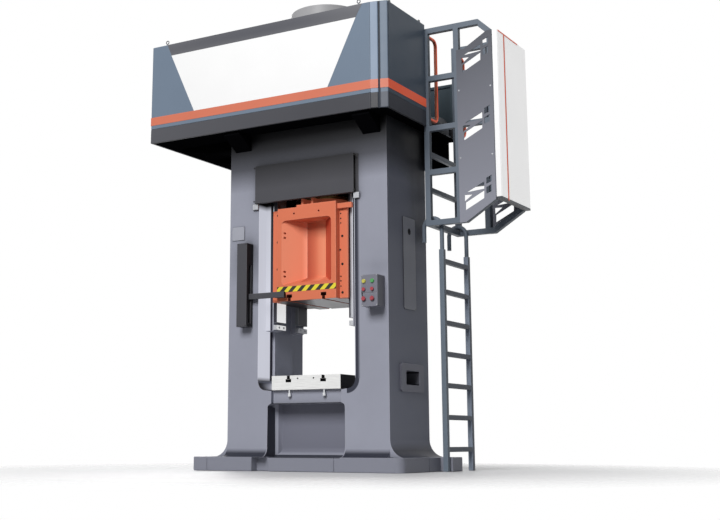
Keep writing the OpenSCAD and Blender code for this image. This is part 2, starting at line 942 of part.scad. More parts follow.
module crown_stripe() color([0.89, 0.42, 0.28]) {
    z1 = stripe_z + stripe_h;
    wall([crown_x0, crown_y0 - stripe_t], [corner_x, crown_y0], stripe_z, z1);
    wall([crown_x1, corner_y + panel_t], [crown_x1 + stripe_t, post_y0], stripe_z, z1);
    wall([crown_x0 - stripe_t, crown_y0], [crown_x0, crown_y1], stripe_z, z1);
    wall([crown_x0, crown_y1], [post_face, crown_y1 + stripe_t], stripe_z, z1);
    translate([0, 0, stripe_z]) linear_extrude(stripe_h) difference() {
        polygon([
            [corner_x, crown_y0 - stripe_t], [crown_x1 + stripe_t, corner_y - stripe_t],
            [crown_x1 + stripe_t, corner_y + panel_t], [crown_x1, corner_y + panel_t], [crown_x1, corner_y],
            [corner_x, crown_y0]
        ]);
        translate([corner_x + corner_run / 2 - seam_w / 2, crown_y0 - over - stripe_t])
            square([seam_w, corner_run]);
    }
}

module sign_panel() color([0.95, 0.95, 0.95]) translate([0, crown_y0 - sign_t / 2, 0])
    extrude_y(sign_t) polygon([
        [along_front(sign_top_shares[0]), sign_top], [along_front(sign_low_shares[0]), stripe_z + stripe_h],
        [along_front(sign_low_shares[1]), stripe_z + stripe_h], [along_front(sign_top_shares[1]), sign_top]
    ]);

module panel_eyes() color([0.8, 0.81, 0.83]) {
    for (s = eye_shares) translate([along_front(s), crown_y0 + panel_t / 2, parapet_top]) {
        cylinder(r = eye_wire_r, h = eye_stem_h);
        translate([0, 0, eye_stem_h + eye_r]) rotate([90, 0, 0]) rotate_extrude()
            translate([eye_r, 0]) circle(eye_wire_r);
    }
    for (s = lug_shares)
        translate([crown_x1 - panel_t / 2, corner_y + panel_t + s * (post_y0 - corner_y), parapet_top])
            block([-lug_t / 2, -lug_w / 2, 0], [lug_t / 2, lug_w / 2, lug_h]);
}

module conduit_elbow() color([0.78, 0.79, 0.8]) translate([pipe_x, pipe_y, deck_z + deck_t]) {
    cylinder(r = pipe_flange_r, h = pipe_flange_h);
    cylinder(r = pipe_r, h = pipe_rise);
    translate([-pipe_bend, 0, pipe_rise]) rotate([90, 0, 0]) rotate_extrude(angle = 90)
        translate([pipe_bend, 0]) circle(pipe_r);
    translate([-pipe_bend - pipe_run, 0, pipe_rise + pipe_bend]) rotate([0, 90, 0]) {
        cylinder(r = pipe_r, h = pipe_run);
        cylinder(r = pipe_flange_r, h = pipe_flange_h);
    }
}

// Screw, bearings and motor, all on the Z axis
well_floor = frame_h - well_depth;
collar_z = well_floor + bush_flange_h + slip;
thrust_z = collar_z + collar_h + slip;
spigot_h = frame_h - thrust_z - thrust_h;
wheel_z = frame_h + cap_flange_h + wheel_gap;
rotor_z = frame_h + rotor_foot;
shield_z = frame_h + motor_h;
bearing_z = shield_z - hub_h + shield_h;
disc_z = shield_z + shield_h + disc_gap;
shaft_top = disc_z + disc_h;
screw_tip = slide_top - nut_seat - screw_tip_drop;
stator_r = motor_d / 2 - motor_wall - fit;

module lower_bush() color([0.72, 0.55, 0.3]) {
    ring(bush_r - fit, screw_d / 2 + fit, window_top + bush_gap, well_floor - window_top - bush_gap);
    ring(bush_flange_r, screw_d / 2 + fit, well_floor, bush_flange_h);
}

module thrust_bearing() color([0.7, 0.71, 0.73]) ring(thrust_r, screw_d / 2 + fit, thrust_z, thrust_h);

module bearing_cap() color([0.45, 0.46, 0.5]) {
    ring(well_r - fit, screw_d / 2 + slip, frame_h - spigot_h, spigot_h + cap_flange_h);
    ring(cap_flange_r, screw_d / 2 + slip, frame_h, cap_flange_h);
}

module main_screw() color([0.68, 0.69, 0.71]) {
    translate([0, 0, screw_tip]) cylinder(r = screw_d / 2, h = wheel_z + wheel_h - screw_tip);
    translate([0, 0, collar_z]) cylinder(r = collar_r, h = collar_h);
    translate([0, 0, wheel_z]) cylinder(r = shaft_r, h = shaft_top - wheel_z);
}

module flywheel() color([0.5, 0.51, 0.53]) {
    inner = screw_d / 2 + wheel_hub;
    outer = wheel_rim_share * flywheel_d / 2;
    difference() {
        ring(flywheel_d / 2, screw_d / 2 + fit, wheel_z, wheel_h);
        ring(outer, inner + screw_d / 4, wheel_z - over, wheel_web_depth + over);
        ring(outer, inner + screw_d / 4, wheel_z + wheel_h - wheel_web_depth, wheel_web_depth + over);
    }
}

module motor_rotor() color([0.55, 0.56, 0.58]) ring(rotor_d / 2, shaft_r + fit, rotor_z, rotor_h);

module motor_stator() color([0.42, 0.36, 0.3]) ring(stator_r, rotor_d / 2 + air_gap, rotor_z, rotor_h);

module motor_housing() color([0.5, 0.53, 0.57]) {
    ring(motor_d / 2, motor_d / 2 - motor_wall, frame_h, motor_h);
    ring(motor_flange_r, motor_d / 2 - motor_wall, frame_h, motor_flange_h);
    for (i = [0 : fin_count - 1]) rotate(i * 360 / fin_count) block(
        [motor_d / 2 - bite, -fin_t / 2, frame_h + fin_margin],
        [motor_d / 2 + fin_h, fin_t / 2, frame_h + motor_h - fin_margin]
    );
}

module end_shield() color([0.5, 0.53, 0.57]) {
    ring(motor_d / 2, bearing_r + fit, shield_z, shield_h);
    ring(hub_r, bearing_r + fit, shield_z - hub_h + shield_h, hub_h - shield_h);
}

module upper_bearing() color([0.7, 0.71, 0.73]) ring(bearing_r, shaft_r + fit, bearing_z, bearing_h);

module brake_disc() color([0.6, 0.61, 0.63]) ring(disc_r, shaft_r + fit, disc_z, disc_h);

module brake_calipers() color([0.4, 0.2, 0.18]) both_sides() difference() {
    block(
        [disc_r - caliper_d / 2, -caliper_w / 2, shield_z + shield_h],
        [disc_r + caliper_d / 2, caliper_w / 2, disc_z + disc_h + caliper_jaw]
    );
    block(
        [disc_r - caliper_d, -caliper_w, disc_z - slip],
        [disc_r + seat_back, caliper_w, disc_z + disc_h + slip]
    );
}

module motor_cap() color([0.82, 0.83, 0.84]) difference() {
    translate([0, 0, shield_z + shield_h]) {
        cylinder(r = cap_d / 2, h = cap_h);
        cylinder(r = cap_d / 2 + cap_lip, h = cap_lip_h);
    }
    translate([0, 0, shield_z]) cylinder(r = cap_d / 2 - cap_wall, h = shield_h + cap_h - cap_wall);
}

// Slide
module slide_plan() {
    square([slide_w, slide_d], center = true);
    square([2 * wing_x, wing_d], center = true);
    square([2 * tongue_x, tongue_d], center = true);
}

// The sloped pocket, cut from the front face
module slide_dish() {
    front = -slide_d / 2 - over;
    back = -slide_d / 2 + dish_depth;
    z0 = slide_z + dish_low;
    z1 = slide_top - dish_high;
    intersection() {
        extrude_y(slide_d + 2 * over) round_rect([-dish_w / 2, z0], [dish_w / 2, z1], dish_r);
        translate([0, 0, z0 - over]) linear_extrude(z1 - z0 + 2 * over) polygon([
            [-dish_w / 2, front], [dish_w / 2, front], [dish_floor_w / 2, back], [-dish_floor_w / 2, back]
        ]);
        extrude_x(dish_w) polygon([[front, z0], [back, z0 + dish_rise], [back, z1], [front, z1]]);
    }
}

module front_hole(x, z, depth) {
    translate([x, -slide_d / 2 - over, z]) rotate([-90, 0, 0]) cylinder(r = dowel_r, h = depth);
}

module slide_body() color([0.9, 0.42, 0.3]) difference() {
    union() {
        translate([0, 0, slide_z]) linear_extrude(slide_h) slide_plan();
        block(
            [-crest_left, -slide_d / 2, slide_top - bite],
            [slide_w / 2, slide_d / 2, slide_top + crest_h]
        );
        translate([0, 0, slide_top - bite]) cylinder(r = boss_d / 2, h = boss_h + bite);
        for (x = [-rib_pitch / 2, rib_pitch / 2]) front_and_rear() block(
            [x - rib_t / 2, rib_front - slide_d / 2, slide_top],
            [x + rib_t / 2, -nut_d / 2, slide_top + rib_h]
        );
    }
    front_and_rear() slide_dish();
    for (x = [-slot_pitch / 2, slot_pitch / 2])
        translate([x, 0, slide_z]) mirror([0, 0, 1]) extrude_y(slide_d + 2 * over) t_slot();
    for (s = concat(dowel_high_shares, dowel_low_shares))
        front_hole(-dowel_x, slide_z + s * slide_h, dowel_depth);
    both_sides() front_hole(eye_hole_pitch / 2, slide_top - eye_hole_drop, dowel_depth);
    translate([0, 0, slide_z + bore_floor]) cylinder(r = bore_r, h = slide_h);
    translate([0, 0, slide_top - nut_seat]) cylinder(r = nut_d / 2 + fit, h = slide_h);
}

module slide_gibs() color([0.76, 0.6, 0.34]) front_and_rear() both_sides() block(
    [wing_x, -rail_y - rail_d + seat_back, slide_z + gib_margin],
    [wing_x + gib_t, -rail_y - seat_back, slide_top - gib_margin]
);

module screw_nut() color([0.74, 0.57, 0.3]) {
    ring(nut_d / 2, screw_d / 2 + fit, slide_top - nut_seat, nut_seat + boss_h + nut_flange_h);
    ring(nut_flange_d / 2, screw_d / 2 + fit, boss_top, nut_flange_h);
}

// Plates bolted on the wings' front and rear, reaching over the rails' edges
module wing_plates() color([0.9, 0.42, 0.3]) front_and_rear() both_sides() block(
    [slide_w / 2 + wing_plate_gap, -wing_d / 2 - wing_plate_t, slide_z + wing_plate_margin],
    [rail_x + wing_plate_lap, -wing_d / 2, slide_top - wing_plate_margin]
);

module wiper_bar() color([0.9, 0.42, 0.3]) block(
    [slide_w / 2, -wing_d / 2 - wing_plate_t - bar_t, slide_top - bar_drop - bar_h],
    [rail_x + bar_reach, -wing_d / 2 - wing_plate_t, slide_top - bar_drop]
);

module hazard_strip() color([0.93, 0.78, 0.16]) block(
    [-slide_w / 2, -slide_d / 2 - strip_t, slide_z + strip_low],
    [slide_w / 2, -slide_d / 2, slide_z + strip_low + strip_h]
);

// Safety cage at the ladder's head
module strip_between(a, b, height) {
    polygon([a, b, [b.x, b.y + height], [a.x, a.y + height]]);
}

module cage_outline() {
    slope = knee_rise / (cage_x1 - knee_x);
    fall = top_drop / top_run;
    low_h = tube * sqrt(1 + slope * slope);
    high_h = tube * sqrt(1 + fall * fall);
    top_x = cage_x1 - top_run;
    for (x = [post_x, post_x + cage_mid])
        translate([x - tube / 2, cage_bottom]) square([tube, cage_top - cage_bottom]);
    translate([cage_x1 - tube, cage_bottom + knee_rise])
        square([tube, cage_top - cage_bottom - knee_rise - top_drop]);
    translate([post_face, cage_bottom]) square([knee_x - post_face, tube]);
    translate([post_face, cage_top - tube]) square([top_x - post_face, tube]);
    strip_between([knee_x, cage_bottom], [cage_x1, cage_bottom + knee_rise], low_h);
    strip_between([top_x, cage_top - high_h], [cage_x1, cage_top - top_drop - high_h], high_h);
    for (s = rail_shares) translate([post_face, cage_bottom + s * (cage_top - cage_bottom)])
        square([cage_x1 - post_face, tube]);
}

module cage_frame(y) {
    translate([0, y + tube / 2, 0]) extrude_y(tube) cage_outline();
}

module cage_front_frame() color([0.4, 0.45, 0.51]) cage_frame(post_y0);

module cage_rear_frame() color([0.4, 0.45, 0.51]) cage_frame(post_y1);

module plate_outline() {
    w = cage_x1 - plate_x;
    top = cage_top - plate_top;
    difference() {
        polygon([
            [plate_x, cage_bottom], [knee_x, cage_bottom], [cage_x1, cage_bottom + knee_rise],
            [cage_x1, top + brow_rise], [plate_x + brow_x + brow_run, top + brow_rise],
            [plate_x + brow_x, top], [plate_x, top]
        ]);
        for (k = [0 : 2]) translate([plate_x, cage_bottom + group_low + k * group_pitch])
            for (shares = cut_shares) polygon(scaled(shares, w, group_pitch));
    }
}

module cage_plates() color([0.48, 0.51, 0.57]) for (y = [post_y0 - plate_t, post_y1 + tube])
    translate([0, y + plate_t / 2, 0]) extrude_y(plate_t) plate_outline();

module cage_screen() color([0.95, 0.95, 0.95]) translate([0, 0, screen_z0])
    linear_extrude(screen_z1 - screen_z0)
        round_rect([cage_x1, post_y0], [cage_x1 + screen_t, post_y1 + tube], screen_r);

module screen_trim() color([0.9, 0.38, 0.26]) {
    depth = post_y1 + tube - post_y0;
    y = post_y0 + trim_y_share * depth;
    x = cage_x1 + screen_t;
    block([x, y, screen_z0], [x + trim_t, y + trim_w, screen_z1 - trim_top_w]);
    block(
        [x, post_y0 + screen_r, screen_z1 - trim_top_w],
        [x + trim_t, post_y0 + trim_run_share * depth, screen_z1]
    );
}

module cage_rungs() color([0.4, 0.45, 0.51]) {
    block([post_face, post_y0 + tube, cage_bottom], [post_face + tube, post_y1, cage_bottom + tube]);
    for (s = cross_shares) translate([post_x - cross_w / 2, 0, cage_bottom + s * (cage_top - cage_bottom)])
        block([0, post_y0 + tube, 0], [cross_w, post_y1, cross_w]);
}

// A bent grip standing off towards +Y from y = 0
module grip() {
    straight = grip_reach - grip_bend;
    for (z = [grip_z0, grip_z1]) translate([0, 0, z]) rotate([-90, 0, 0]) cylinder(r = grip_r, h = straight);
    translate([0, grip_reach, grip_z0 + grip_bend])
        cylinder(r = grip_r, h = grip_z1 - grip_z0 - 2 * grip_bend);
    translate([0, straight, grip_z0 + grip_bend]) rotate([90, 0, 90]) rotate(-90) rotate_extrude(angle = 90)
        translate([grip_bend, 0]) circle(grip_r);
    translate([0, straight, grip_z1 - grip_bend]) rotate([90, 0, 90]) rotate_extrude(angle = 90)
        translate([grip_bend, 0]) circle(grip_r);
}

module grab_handles() color([0.9, 0.38, 0.26]) for (y = [post_y0, post_y1])
    translate([post_x, y + tube, 0]) grip();

// Ladder
module at_stiles() {
    for (y = [ladder_y, ladder_y + ladder_w]) translate([ladder_x, y, 0]) children();
}

module ladder_stiles() color([0.4, 0.45, 0.51]) at_stiles() difference() {
    block([-stile_w / 2, -stile_w / 2, 0], [stile_w / 2, stile_w / 2, stile_h]);
    block(
        [stile_wall - stile_w / 2, stile_wall - stile_w / 2, stile_cap],
        [stile_w / 2 - stile_wall, stile_w / 2 - stile_wall, stile_h - stile_cap]
    );
    translate([0, 0, stile_h - 2 * stile_cap]) cylinder(r = hook_r + fit, h = 3 * stile_cap);
}

module ladder_rungs() color([0.36, 0.41, 0.47]) for (i = [0 : rung_count - 1])
    translate([ladder_x - rung_w / 2, 0, rung_first + i * rung_pitch - rung_w])
        block([0, ladder_y + stile_w / 2, 0], [rung_w, ladder_y + ladder_w - stile_w / 2, rung_w]);

module ladder_hooks() color([0.45, 0.5, 0.56]) at_stiles() {
    translate([0, 0, stile_h - hook_sleeve]) cylinder(r = hook_r, h = hook_z - stile_h + hook_sleeve);
    translate([-hook_turn, 0, hook_z]) rotate([90, 0, 0]) rotate_extrude(angle = 180)
        translate([hook_turn, 0]) circle(hook_r);
    translate([-2 * hook_turn, 0, hook_z - hook_tail]) cylinder(r = hook_r, h = hook_tail);
}

frame_body();
bolster_plate();
bolster_screws();
front_rails();
rear_rails();
rail_keepers();
front_cover();
rear_cover();
cover_rests();
side_cover();
column_plaque();
sensor_housing();
control_box();
indicator_lamps();
deck_plate();
deck_brackets();
deck_skirt();
front_panel();
corner_post();
right_panel();
left_panel();
rear_panel();
crown_stripe();
sign_panel();
panel_eyes();
lower_bush();
thrust_bearing();
bearing_cap();
motor_housing();
motor_stator();
upper_bearing();
end_shield();
brake_calipers();
motor_cap();
conduit_elbow();
cage_front_frame();
cage_rear_frame();
cage_plates();
cage_screen();
screen_trim();
cage_rungs();
grab_handles();
ladder_stiles();
ladder_rungs();
ladder_hooks();
slide_body();
slide_gibs();
wing_plates();
screw_nut();
wiper_bar();
hazard_strip();
sensor_arm();
main_screw();
flywheel();
motor_rotor();
brake_disc();
left_start_button();
right_start_button();
left_stop_button();
right_stop_button();
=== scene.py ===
import json
import math

import bmesh
import bpy
from mathutils import Matrix, Vector


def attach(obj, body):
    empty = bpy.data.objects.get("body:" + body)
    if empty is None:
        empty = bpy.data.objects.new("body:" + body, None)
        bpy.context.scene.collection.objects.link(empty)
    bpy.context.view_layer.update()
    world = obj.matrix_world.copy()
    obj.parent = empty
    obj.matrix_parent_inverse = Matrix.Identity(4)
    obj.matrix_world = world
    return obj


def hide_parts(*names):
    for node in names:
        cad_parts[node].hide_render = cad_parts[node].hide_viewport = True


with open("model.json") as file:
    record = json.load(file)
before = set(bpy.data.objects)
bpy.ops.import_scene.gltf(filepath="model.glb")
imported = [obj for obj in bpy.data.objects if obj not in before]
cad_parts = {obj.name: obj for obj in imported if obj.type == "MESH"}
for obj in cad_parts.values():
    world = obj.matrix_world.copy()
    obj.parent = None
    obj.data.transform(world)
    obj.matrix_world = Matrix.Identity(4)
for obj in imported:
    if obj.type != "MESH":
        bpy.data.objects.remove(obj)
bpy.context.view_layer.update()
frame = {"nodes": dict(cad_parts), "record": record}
nodes = frame["nodes"]
slotOf = {part["node"]: part["material_slot"] for part in frame["record"]["subparts"]}
bodyOf = {n: body for body, names in frame["record"]["behaviour"]["bodies"].items() for n in names}
scene = bpy.context.scene
scene.view_settings.view_transform = "Standard"
print("frame loaded:", len(nodes), "nodes")


# node helpers
def addNode(tree, kind, links=(), **values):
    node = tree.nodes.new(kind)
    for key, value in values.items():
        if key in node.inputs:
            node.inputs[key].default_value = value
        else:
            setattr(node, key, value)
    for source, target in links:
        tree.links.new(source, node.inputs[target])
    return node


def addMath(tree, operation, *values):
    node = addNode(tree, "ShaderNodeMath", operation=operation)
    for socket, value in zip(node.inputs, values):
        if isinstance(value, (int, float)):
            socket.default_value = value
        else:
            tree.links.new(value, socket)
    return node.outputs[0]


def mapStep(tree, value, low, high, floor=0.0, top=1.0):
    limits = {"From Min": low, "From Max": high, "To Min": floor, "To Max": top}
    return addNode(tree, "ShaderNodeMapRange", [(value, "Value")], **limits).outputs[0]


# several masks made one: MULTIPLY keeps what all share, MAXIMUM what any has
def joinMasks(tree, operation, masks):
    joined = masks[0]
    for mask in masks[1:]:
        joined = addMath(tree, operation, joined, mask)
    return joined


# camera, taken from the photograph's vanishing lines, for an image of 720 by 520
cameraSet = {"place": (5.967, -10.113, 0.285), "yaw": 31.175, "pitch": 11.155, "lens": 58.98, "sensor": 36,
             "shift": (0.0635, -0.072), "far": 200}
cameraData = bpy.data.cameras.new("pressCamera")
cameraData.lens = cameraSet["lens"]
cameraData.sensor_width = cameraSet["sensor"]
cameraData.shift_x, cameraData.shift_y = cameraSet["shift"]
cameraData.clip_end = cameraSet["far"]
camera = bpy.data.objects.new("pressCamera", cameraData)
camera.location = cameraSet["place"]
camera.rotation_euler = (math.radians(90 + cameraSet["pitch"]), 0, math.radians(cameraSet["yaw"]))
scene.collection.objects.link(camera)
scene.camera = camera

# lamps: one large soft key half way up in front, a weaker one at the back left
lampSet = {"key": {"place": (1.0, -12.3, 9.4), "aim": (0, 0, 2.4), "size": (6, 6.5), "power": 2050},
           "back": {"place": (-10.0, 12.0, 9.0), "aim": (0, 0, 2.3), "size": (7, 7), "power": 700}}
for lampName, lamp in lampSet.items():
    lampData = bpy.data.lights.new(lampName + "Lamp", "AREA")
    lampData.shape = "RECTANGLE"
    lampData.size, lampData.size_y = lamp["size"]
    lampData.energy = lamp["power"]
    lampObject = bpy.data.objects.new(lampName + "Lamp", lampData)
    lampObject.location = lamp["place"]
    aim = Vector(lamp["aim"]) - Vector(lamp["place"])
    lampObject.rotation_euler = aim.to_track_quat("-Z", "Y").to_euler()
    scene.collection.objects.link(lampObject)

# white backdrop that lights the press only a little
worldSet = {"ambient": 0.085}
world = bpy.data.worlds.new("studio")
scene.world = world
world.use_nodes = True
worldTree = world.node_tree
backdrop = worldTree.nodes["Background"]
backdrop.inputs["Color"].default_value = (1, 1, 1, 1)
rays = addNode(worldTree, "ShaderNodeLightPath").outputs
rayKinds = ("Is Camera Ray", "Is Glossy Ray", "Is Transmission Ray")
seen = joinMasks(worldTree, "MAXIMUM", [rays[kind] for kind in rayKinds])
worldTree.links.new(mapStep(worldTree, seen, 0, 1, worldSet["ambient"]), backdrop.inputs["Strength"])
print("camera and lamps set")


# materials
def startFinish(name):
    finish = bpy.data.materials.new(name)
    finish.use_nodes = True
    tree = finish.node_tree
    coord = addNode(tree, "ShaderNodeTexCoord").outputs["Object"]
    return finish, tree, tree.nodes["Principled BSDF"], coord


def axesOf(tree, vector):
    return addNode(tree, "ShaderNodeSeparateXYZ", [(vector, "Vector")]).outputs


def noiseOf(tree, coord, **values):
    return addNode(tree, "ShaderNodeTexNoise", [(coord, "Vector")], **values).outputs["Fac"]


def shade(colour, gain=1.0):
    return tuple(min(1.0, c * gain) for c in colour) + (1.0,)


def lighten(colour, part):
    return tuple(c + (1 - c) * part for c in colour) + (1.0,)


def rampOf(tree, source, stops):
    ramp = addNode(tree, "ShaderNodeValToRGB", [(source, "Fac")])
    elements = ramp.color_ramp.elements
    for element, (place, colour) in zip(elements, (stops[0], stops[-1])):
        element.position = place
        element.color = colour
    for place, colour in stops[1:-1]:
        elements.new(place).color = colour
    return ramp.outputs["Color"]


def mixColour(tree, mask, first, second):
    mix = addNode(tree, "ShaderNodeMix", [(mask, 0)], data_type="RGBA")
    for socket, value in ((mix.inputs[6], first), (mix.inputs[7], second)):
        if isinstance(value, tuple):
            socket.default_value = value
        else:
            tree.links.new(value, socket)
    return mix.outputs[2]


def liftSkin(tree, shader, height, strength, distance=0.001):
    lift = addNode(tree, "ShaderNodeBump", [(height, "Height")], Strength=strength, Distance=distance)
    tree.links.new(lift.outputs[0], shader.inputs["Normal"])


# a mask that is 1 along a piece's edges
def edgeMask(tree, radius):
    rounded = addNode(tree, "ShaderNodeBevel", samples=4, Radius=radius).outputs[0]
    flat = addNode(tree, "ShaderNodeNewGeometry").outputs["True Normal"]
    dot = addNode(tree, "ShaderNodeVectorMath", [(rounded, 0), (flat, 1)], operation="DOT_PRODUCT")
    return mapStep(tree, dot.outputs["Value"], 0.995, 0.86)


def leanOf(tree, axis):
    normal = addNode(tree, "ShaderNodeNewGeometry").outputs["Normal"]
    return axesOf(tree, normal)[axis]


# masks for the sides of a box, in metres on the piece's own coordinates; plain axes count both ways
boxSoft = 0.0005


def boxMasks(tree, axes, box, plain):
    masks = []
    for axis, (low, high) in box.items():
        value = addMath(tree, "ABSOLUTE", axes[axis]) if axis in plain else axes[axis]
        if low is not None:
            masks.append(mapStep(tree, value, low - boxSoft, low + boxSoft))
        if high is not None:
            masks.append(mapStep(tree, value, high + boxSoft, high - boxSoft))
    return masks


# a mask that is 1 within a circle across one axis
def discMask(tree, axes, centre, radius):
    gaps = [addMath(tree, "SUBTRACT", axes[axis], middle) for axis, middle in centre.items()]
    total = addMath(tree, "ADD", *[addMath(tree, "MULTIPLY", gap, gap) for gap in gaps])
    return mapStep(tree, total, radius * radius * 1.05, radius * radius * 0.95)


# a zone is what its box, fades, leans of the face, disc and pattern share; a list of zones joins them
def zoneMask(tree, axes, zone):
    if isinstance(zone, list):
        return joinMasks(tree, "MAXIMUM", [zoneMask(tree, axes, one) for one in zone])
    masks = boxMasks(tree, axes, zone.get("box", {}), zone.get("plain", ""))
    masks += [mapStep(tree, axes[axis], low, high) for axis, low, high in zone.get("fade", ())]
    masks += [mapStep(tree, leanOf(tree, axis), low, high) for axis, low, high in zone.get("lean", ())]
    if "disc" in zone:
        masks.append(discMask(tree, axes, *zone["disc"]))
    if "pattern" in zone:
        masks.append(zone["pattern"](tree, axes))
    return joinMasks(tree, "MULTIPLY", masks)


def layPatches(tree, axes, skin, patches):
    for zone, colour in (patches or {}).values():
        skin = mixColour(tree, zoneMask(tree, axes, zone), skin, shade(colour))
    return skin


# painted light: some zones glow a little, in the skin's own colour where none is named
def lightZones(tree, shader, axes, skin, lit):
    parts = [addMath(tree, "MULTIPLY", zoneMask(tree, axes, zone), strength)
             for zone, strength in lit["zones"]]
    tree.links.new(joinMasks(tree, "ADD", parts), shader.inputs["Emission Strength"])
    if "colour" in lit:
        shader.inputs["Emission Color"].default_value = shade(lit["colour"])
    else:
        tree.links.new(skin, shader.inputs["Emission Color"])


# painted shade: 1 in the open, falling in hollows where other faces stand close and under the crown's
# overhang
def paintedShade(tree, axes, distance, low):
    hollow = addNode(tree, "ShaderNodeAmbientOcclusion", samples=6, Distance=distance)
    near = mapStep(tree, hollow.outputs["AO"], 0.38, 0.96, low)
    free = addMath(tree, "MAXIMUM", near, mapStep(tree, axes["Z"], 2.4, 1.8))
    greys = ((0.0, 1.0), (0.57, 0.25), (1.0, 0.07))
    stops = [(place, shade((grey, grey, grey))) for place, grey in greys]
    crown = rampOf(tree, mapStep(tree, axes["Z"], 2.76, 3.18), stops)
    return addMath(tree, "MULTIPLY", free, crown)


# painted sheet or casting: faint mottling, fine skin, lighter edges that are both wear and a painted
# highlight; shadow is the reach and floor of the painted shade
def paintFinish(name, colour, rough=0.42, mottle=0.05, grain=420, bump=0.06, edge=0.006, wearGlint=0.3, sheen=0.16,
                patches=None, shadow=None, lit=None):
    finish, tree, shader, coord = startFinish(name)
    axes = axesOf(tree, coord)
    cloud = noiseOf(tree, coord, Scale=1.7, Detail=5.0, Roughness=0.6)
    body = rampOf(tree, cloud, [(0.3, shade(colour, 1 - mottle)), (0.7, shade(colour, 1 + mottle))])
    wornGlint = addMath(tree, "MULTIPLY", edgeMask(tree, edge), wearGlint)
    skin = layPatches(tree, axes, mixColour(tree, wornGlint, body, lighten(colour, 0.3)), patches)
    if shadow:
        skin = mixColour(tree, paintedShade(tree, axes, *shadow), (0.0, 0.0, 0.0, 1.0), skin)
    tree.links.new(skin, shader.inputs["Base Color"])
    smear = noiseOf(tree, coord, Scale=6.0, Detail=6.0)
    tree.links.new(mapStep(tree, smear, 0, 1, rough - 0.07, rough + 0.07), shader.inputs["Roughness"])
    liftSkin(tree, shader, noiseOf(tree, coord, Scale=grain, Detail=2.0), bump)
    shader.inputs["Specular IOR Level"].default_value = sheen
    if lit:
        lightZones(tree, shader, axes, skin, lit)
    return finish


# ground or turned metal: fine lines drawn out along one axis, lighter edges that are both wear and a painted
# highlight
def metalFinish(name, colour, rough=0.32, stretch=(220, 220, 6), metallic=0.85, wearGlint=0.35, sheen=0.5,
                patches=None, lit=None):
    finish, tree, shader, coord = startFinish(name)
    axes = axesOf(tree, coord)
    drawn = addNode(tree, "ShaderNodeMapping", [(coord, "Vector")], Scale=stretch)
    lines = noiseOf(tree, drawn.outputs[0], Scale=1.0, Detail=4.0)
    body = rampOf(tree, lines, [(0.3, shade(colour, 0.88)), (0.7, shade(colour, 1.08))])
    wornGlint = addMath(tree, "MULTIPLY", edgeMask(tree, 0.004), wearGlint)
    skin = layPatches(tree, axes, mixColour(tree, wornGlint, body, lighten(colour, 0.45)), patches)
    tree.links.new(skin, shader.inputs["Base Color"])
    tree.links.new(mapStep(tree, lines, 0, 1, rough - 0.08, rough + 0.12), shader.inputs["Roughness"])
    liftSkin(tree, shader, lines, 0.05)
    shader.inputs["Metallic"].default_value = metallic
    shader.inputs["Specular IOR Level"].default_value = sheen
    if lit:
        lightZones(tree, shader, axes, skin, lit)
    return finish


# moulded plastic with a light skin texture
def plasticFinish(name, colour, rough=0.3, glow=0.0, patches=None):
    finish, tree, shader, coord = startFinish(name)
    cloud = noiseOf(tree, coord, Scale=60.0, Detail=3.0)
    body = rampOf(tree, cloud, [(0.3, shade(colour, 0.92)), (0.7, shade(colour, 1.06))])
    skin = layPatches(tree, axesOf(tree, coord), body, patches)
    tree.links.new(skin, shader.inputs["Base Color"])
    liftSkin(tree, shader, cloud, 0.03, 0.0005)
    shader.inputs["Roughness"].default_value = rough
    shader.inputs["Coat Weight"].default_value = 0.3
    if glow:
        tree.links.new(skin, shader.inputs["Emission Color"])
        shader.inputs["Emission Strength"].default_value = glow
    return finish


# slanting bars of the hazard strip, black on yellow
def slantBars(tree, axes):
    slant = addMath(tree, "SUBTRACT", axes["X"], axes["Z"])
    return mapStep(tree, addMath(tree, "WRAP", slant, 0.104, 0.0), 0.051, 0.053)


# crossed bars of the walkway's tread plate
def treadBars(tree, axes):
    waves = []
    for operation in ("ADD", "SUBTRACT"):
        slant = addMath(tree, operation, axes["X"], axes["Y"])
        waves.append(addMath(tree, "SINE", addMath(tree, "MULTIPLY", slant, 150.0)))
    return mapStep(tree, addMath(tree, "MULTIPLY", *waves), 0.35, 0.55)


# faces turned to the front right
def frontRight(tree, axes):
    normal = addNode(tree, "ShaderNodeNewGeometry").outputs["Normal"]
    dot = addNode(tree, "ShaderNodeVectorMath", [(normal, 0)], operation="DOT_PRODUCT")
    dot.inputs[1].default_value = (0.74, -0.67, 0)
    return mapStep(tree, dot.outputs["Value"], 0.86, 0.94)


# left part of the slide's foot, up to a slanting line, where a painted shadow lies
def footSlant(tree, axes):
    return mapStep(tree, addMath(tree, "MULTIPLY_ADD", axes["Y"], 0.52, axes["X"]), -0.12, -0.17)


rightFace, frontFace = ("X", 0.75, 0.9), ("Y", -0.75, -0.9)
topFace, underFace, offUnder = ("Z", 0.75, 0.9), ("Z", -0.75, -0.9), ("Z", -0.9, -0.75)
# rightSide: faces turned to +X, which finishes below paint darker as shade or lighter as painted light;
# slopes: faces turned to the front right, where painted highlights are laid
rightSide = {"lean": [rightFace]}
slopes = {"pattern": frontRight}
white = (1.0, 1.0, 1.0)
